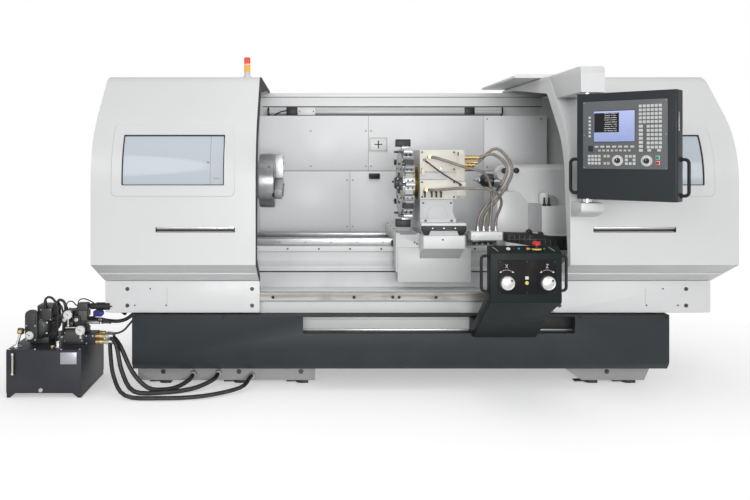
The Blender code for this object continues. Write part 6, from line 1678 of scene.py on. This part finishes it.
def dial(piece, x, y, z, r):
    # Pressure gauge that faces the front.
    piece.lathed("y", (x, z), [y + 0.026, r * 0.8, y + 0.024, r * 0.94, y + 0.003, r * 0.94, y + 0.002, r,
        y, r, y - 0.0005, r * 0.9], 36, ZINC)
    piece.lathed("y", (x, z), [y - 0.0004, r * 0.9, y - 0.0012, r * 0.88], 36, PALE)
    for k in range(9):
        t = radians(225 - 33.75 * k)
        a, b = r * 0.66, r * 0.82
        piece.tube([at(x + a * cos(t), y - 0.0013, z + a * sin(t)),
            at(x + b * cos(t), y - 0.0013, z + b * sin(t))], 0.0006, 5, BLACK)
    t = radians(150)
    piece.tube([at(x - 0.2 * r * cos(t), y - 0.0018, z - 0.2 * r * sin(t)),
        at(x + 0.62 * r * cos(t), y - 0.0018, z + 0.62 * r * sin(t))], 0.0009, 5, BLACK)
    piece.lathed("y", (x, z), [y - 0.001, 0.003, y - 0.003, 0.0028], 12, BLACK)


def union(piece, a, b, r, finish):
    # Pipe union: a tube with a hexagon at each end.
    a, b = Vector(a), Vector(b)
    way = (b - a).normalized()
    piece.tube([a, b], r * 0.72, 14, finish)
    for p, s in ((a, 1), (b, -1)):
        piece.tube([p, p + way * s * r * 0.9], r, 6, finish, r * 0.06, 1)


tank = Piece("hydraulic_tank")
tank.bar("y", round_box(-0.52, -0.092, 0.026, 0.266, 0.006), 0.14, 0.62, TANK, 0.002)
tank.slab(-0.518, -0.094, 0.142, 0.618, 0.2655, 0.267, SEAM)
tank.slab(-0.52, -0.092, 0.14, 0.62, 0.2665, 0.272, TANK, 0.0015)
tank.bar("y", [-0.518, 0.0, -0.5, 0.0, -0.462, 0.03, -0.518, 0.03], 0.142, 0.618, TANK, 0.0015)
tank.bar("y", [-0.094, 0.0, -0.112, 0.0, -0.15, 0.03, -0.094, 0.03], 0.142, 0.618, TANK, 0.0015)
tank.slab(-0.4885, -0.4695, 0.129, 0.1402, 0.132, 0.258, BLACK, 0.003)
# Sight tube glows faintly: painted light
tank.tube([at(-0.479, 0.1275, 0.146), at(-0.479, 0.1275, 0.244)], 0.005, 14, OIL_TUBE_PAINTED_GLOW)
for z in (0.1395, 0.2505):
    tank.lathed("y", (-0.479, z), [0.13, 0.0085, 0.124, 0.0085, 0.1225, 0.007], 6, CHROME)
tank.slab(-0.2113, -0.119, 0.1388, 0.1402, 0.1917, 0.258, BARE, 0.0004)
studs(tank, SOCKET, 0.0022, [(x, 0.1388, z) for x in (-0.2065, -0.1238) for z in (0.1965, 0.2532)], AHEAD,
    ZINC, 31)
tank.lathed("y", (-0.3228, 0.044), [0.1402, 0.013, 0.137, 0.013, 0.137, 0.0095, 0.127, 0.0095], 6, ZINC,
    0.0006)
studs(tank, HEXHEAD, 0.0055,
    [(x, y, 0.272) for x in (-0.507, -0.36, -0.21, -0.105) for y in (0.153, 0.607)] + [(x, y,
    0.272) for x in (-0.507, -0.105) for y in (0.3, 0.46)], UP, ZINC, 32)
tank.lathed("z", (-0.487, 0.205), [0.2718, 0.029, 0.2765, 0.029, 0.278, 0.021, 0.285, 0.019, 0.287, 0.01],
    32, CHROME)
studs(tank, SOCKET, 0.0032, [(*spot, 0.2765) for spot in disc_line(-0.487, 0.205, 0.024, 6)], UP, OILED, 33)
tank.tube([at(-0.483, 0.205, 0.284), at(-0.47, 0.207, 0.33), at(-0.463, 0.208, 0.352)], 0.0085, 18, CHROME)
tank.tube([at(-0.463, 0.208, 0.35), at(-0.458, 0.208, 0.379)], 0.0195, 24, OILED, 0.003)
tank.lathed("y", (-0.46, 0.365), [0.19, 0.01, 0.1865, 0.0095], 20, YELLOW)
tank.lathed("z", (-0.24, 0.19), [0.272, 0.019, 0.281, 0.019, 0.2815, 0.014, 0.312, 0.014], 6, CHROME,
    0.0008)
tank.lathed("z", (-0.268, 0.175), [0.272, 0.011, 0.29, 0.011], 6, BRASS, 0.0006)
tank.done("frame", "oil_tank")

motor = Piece("pump_motor_unit")
MX, MZ = -0.385, 0.3703
motor.bar("y", toothed(MX, MZ, (0.078, 0.078, 0.069, 0.069), 112), 0.3, 0.445, MOTOR)
motor.lathed("y", (MX, MZ), [0.2555, 0.03, 0.26, 0.05, 0.27, 0.062, 0.285, 0.07, 0.301, 0.074], 48, MOTOR)
motor.lathed("y", (MX, MZ), [0.444, 0.074, 0.45, 0.078, 0.47, 0.078, 0.472, 0.06, 0.54, 0.0585, 0.545,
    0.054], 48, MOTOR)
studs(motor, HEXHEAD, 0.0048, [(x, 0.269, z) for x, z in disc_line(MX, MZ, 0.06, 6, 0.5)], AHEAD, ZINC, 34)
motor.slab(MX - 0.055, MX + 0.055, 0.295, 0.445, 0.2723, 0.308, MOTOR, 0.003)
motor.bar("y", round_box(-0.448, -0.376, 0.295, 0.478, 0.03, 6), 0.233, 0.262, MOTOR, 0.003)
motor.bar("y", round_box(-0.44, -0.384, 0.385, 0.47, 0.026, 6), 0.224, 0.234, MOTOR, 0.002)
studs(motor, SOCKET, 0.005, [(-0.437, 0.233, 0.308), (-0.387, 0.233, 0.308), (-0.437, 0.233, 0.39),
    (-0.387, 0.233, 0.39)], AHEAD, ZINC, 35)
motor.slab(-0.405, -0.3, 0.315, 0.415, 0.4093, 0.4903, MOTOR, 0.004)
motor.slab(-0.367, -0.305, 0.268, 0.32, 0.415, 0.479, MOTOR, 0.004)
motor.slab(-0.369, -0.303, 0.264, 0.269, 0.413, 0.481, MOTOR, 0.002)
studs(motor, SOCKET, 0.0035, [(x, 0.264, z) for x in (-0.364, -0.308) for z in (0.418, 0.476)], AHEAD,
    ZINC, 36)
motor.lathed("z", (-0.351, 0.3), [0.478, 0.013, 0.496, 0.013, 0.4965, 0.01, 0.522, 0.0095, 0.523, 0.006],
    12, BLACK)
dial(motor, -0.4142, 0.212, 0.3374, 0.0245)
motor.lathed("y", (-0.4142, 0.3374), [0.233, 0.009, 0.2375, 0.009], 6, BRASS)
for route, r in (([(-0.352, 0.3, 0.515), (-0.349, 0.298, 0.532), (-0.326, 0.285, 0.546),
        (-0.296, 0.27, 0.538), (-0.268, 0.262, 0.5), (-0.262, 0.262, 0.44), (-0.268, 0.265, 0.37),
        (-0.28, 0.272, 0.3)], 0.007),
        ([(-0.303, 0.29, 0.45), (-0.29, 0.285, 0.475), (-0.262, 0.27, 0.53), (-0.228, 0.262, 0.52),
        (-0.22, 0.262, 0.47), (-0.226, 0.264, 0.4), (-0.24, 0.268, 0.33)], 0.0085),
        ([(-0.303, 0.29, 0.43), (-0.282, 0.28, 0.44), (-0.262, 0.265, 0.48), (-0.244, 0.256, 0.5),
        (-0.232, 0.252, 0.455), (-0.232, 0.256, 0.38), (-0.24, 0.262, 0.325)], 0.006)):
    motor.tube(soft_run([at(*p) for p in route], 5), r, 10, HOSE)
motor.done("frame", "pump_motor")

valves = Piece("valve_stack")
valves.slab(-0.242, -0.114, 0.275, 0.405, 0.2723, 0.3573, MOTOR, 0.003)
valves.slab(-0.236, -0.12, 0.2735, 0.276, 0.286, 0.346, MOSS, 0.001)
studs(valves, SOCKET, 0.0055, [(x, 0.2735, z) for x in (-0.229, -0.127) for z in (0.292, 0.34)], AHEAD,
    ZINC, 37)
for k, (x, finish) in enumerate(((-0.212, MOTOR), (-0.144, MOSS))):
    valves.slab(x - 0.026, x + 0.026, 0.29, 0.39, 0.3573, 0.385, MOTOR, 0.002)
    valves.slab(x - 0.026, x + 0.026, 0.29, 0.39, 0.386, 0.4623, finish, 0.003)
    for y0, y1 in ((0.222, 0.29), (0.39, 0.438)):
        valves.bar("y", round_box(x - 0.021, x + 0.021, 0.4063, 0.4483, 0.01, 5), y0, y1, BLACK, 0.002)
    valves.lathed("y", (x, 0.4273), [0.2225, 0.012, 0.214, 0.012, 0.213, 0.006, 0.209, 0.0055], 6, ZINC)
    studs(valves, SOCKET, 0.004, [(x + s * 0.019, y, 0.4623) for s in (-1, 1) for y in (0.3, 0.38)], UP,
        ZINC, 38 + k)
    valves.slab(x - 0.014, x + 0.014, 0.24, 0.275, 0.448, 0.478, BLACK, 0.003)
    valves.lathed("z", (x, 0.257), [0.4775, 0.009, 0.495, 0.0085, 0.496, 0.005], 12, BLACK)
# Third valve, grey-green with its dark coil on top, in front of the second
valves.slab(-0.138, -0.088, 0.232, 0.276, 0.419, 0.477, MOSS, 0.002)
valves.bar("y", round_box(-0.146, -0.084, 0.4775, 0.518, 0.008), 0.236, 0.29, MOTOR, 0.002)
valves.lathed("x", (0.34, 0.4023), [-0.118, 0.02, -0.072, 0.02, -0.0715, 0.014, -0.047, 0.0135], 24, BLACK)
valves.slab(-0.062, -0.012, 0.268, 0.312, 0.434, 0.466, BLUE, 0.003)
valves.slab(-0.042, -0.004, 0.262, 0.3, 0.442, 0.462, BLUE, 0.003)
valves.lathed("x", (0.3, 0.49), [-0.084, 0.018, -0.05, 0.018, -0.049, 0.0225, 0.03, 0.0225, 0.032, 0.019],
    24, BLACK)
union(valves, at(-0.11, 0.3, 0.395), at(-0.03, 0.3, 0.395), 0.012, ZINC)
union(valves, at(-0.02, 0.3, 0.395), at(0.036, 0.3, 0.395), 0.0105, OILED)
dial(valves, -0.1907, 0.205, 0.4573, 0.026)
dial(valves, -0.119, 0.205, 0.3676, 0.028)
for x, z, lowest in ((-0.1907, 0.4573, 0.395), (-0.119, 0.3676, 0.325)):
    valves.lathed("z", (x, 0.218), [lowest - 0.006, 0.0085, lowest + 0.006, 0.0085, lowest + 0.0065, 0.006,
        z - 0.022, 0.006], 12, ZINC)
    union(valves, at(x, 0.218, lowest), at(x, 0.2765, lowest), 0.0085, BRASS)
union(valves, at(-0.212, 0.235, 0.378), at(-0.14, 0.235, 0.378), 0.0075, ZINC)
# Pressure switch on its stem
valves.lathed("z", (-0.282, 0.3), [0.2723, 0.013, 0.29, 0.013, 0.2905, 0.008, 0.43, 0.008, 0.4305, 0.015,
    0.442, 0.015, 0.4425, 0.022, 0.502, 0.022, 0.505, 0.018, 0.515, 0.012], 20, BLACK)
valves.slab(-0.282, -0.212, 0.294, 0.306, 0.2973, 0.3133, ZINC, 0.001)
for route, r in (([(-0.212, 0.257, 0.494), (-0.211, 0.257, 0.512), (-0.198, 0.262, 0.526),
        (-0.176, 0.262, 0.522), (-0.16, 0.262, 0.505), (-0.146, 0.262, 0.5)], 0.0035),
        ([(-0.144, 0.257, 0.494), (-0.142, 0.262, 0.53), (-0.115, 0.275, 0.538), (-0.075, 0.285, 0.52),
        (-0.052, 0.295, 0.5)], 0.0035),
        ([(0.03, 0.3, 0.49), (0.055, 0.305, 0.488), (0.08, 0.33, 0.47), (0.092, 0.36, 0.444),
        (0.1, 0.38, 0.43)], 0.012)):
    valves.tube(soft_run([at(*p) for p in route], 5), r, 12, HOSE)
valves.done("frame", "valve_block")

outlets = Piece("brass_outlets")
outlets.slab(-0.1097, -0.048, 0.26, 0.37, 0.2723, 0.3343, TANK, 0.002)
studs(outlets, SOCKET, 0.005, [(-0.098, 0.26, 0.324), (-0.06, 0.26, 0.324), (-0.098, 0.26, 0.282)], AHEAD,
    ZINC, 40)
for y, z in ((0.278, 0.3193), (0.314, 0.3163), (0.278, 0.2863), (0.355, 0.3193)):
    union(outlets, at(-0.05, y, z), at(0.01, y, z), 0.015 if y < 0.35 else 0.01, BRASS)
    outlets.lathed("x", (y, z), [-0.031, 0.0125, -0.024, 0.0135, -0.017, 0.0135, -0.01, 0.0125], 18, BRASS)
outlets.done("frame", "manifold")
# Floor and white surround

def surround():
    f = Finish("studio_floor", 0.9)
    path = f.node("ShaderNodeLightPath", out="Is Camera Ray")
    mirror = f.node("ShaderNodeLightPath", out="Is Glossy Ray")
    through = f.node("ShaderNodeLightPath", out="Is Transmission Ray")
    seen = (path + mirror + through).held()
    f.set(colour=f.mixed((0.8, 0.8, 0.8), (0.84, 0.84, 0.84), f.noise(0.8)))
    glow = f.node("ShaderNodeEmission", None, {"Color": (1.0, 1.0, 1.0), "Strength": seen * 0.4})
    near = f.node("ShaderNodeAddShader", None, {0: Wire(f, f.shader.outputs[0]), 1: glow})
    far = f.node("ShaderNodeEmission", None, {"Color": (1.0, 1.0, 1.0), "Strength": seen})
    x, y = f.axes()[:2]
    away = f.span((x * x * 0.35 + y * y) ** 0.5, 1.3, 2.6)
    both = f.node("ShaderNodeMixShader", None, {0: away, 1: near, 2: far})
    f.tree.links.new(both.socket, f.tree.nodes["Material Output"].inputs["Surface"])

    bm = bmesh.new()
    bmesh.ops.create_grid(bm, x_segments=1, y_segments=1, size=30)
    mesh = bpy.data.meshes.new("floor")
    bm.to_mesh(mesh)
    bm.free()
    floor = bpy.data.objects.new("floor", mesh)
    floor.location.z = -0.0005
    mesh.materials.append(f.material)
    show(floor)
    floor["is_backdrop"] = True
    world = bpy.data.worlds.new("surround")
    bpy.context.scene.world = world
    world.use_nodes = True
    nodes = world.node_tree.nodes
    back = nodes["Background"]
    back.inputs["Color"].default_value = (1.0, 1.0, 1.0, 1.0)
    ray = nodes.new("ShaderNodeLightPath")
    seen_add = nodes.new("ShaderNodeMath")
    seen_add.operation = "MAXIMUM"
    world.node_tree.links.new(ray.outputs["Is Camera Ray"], seen_add.inputs[0])
    world.node_tree.links.new(ray.outputs["Is Transmission Ray"], seen_add.inputs[1])
    level = nodes.new("ShaderNodeMapRange")
    level.inputs["To Min"].default_value = 0.55
    level.inputs["To Max"].default_value = 1.0
    world.node_tree.links.new(seen_add.outputs[0], level.inputs["Value"])
    world.node_tree.links.new(level.outputs["Result"], back.inputs["Strength"])


surround()

low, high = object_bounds()
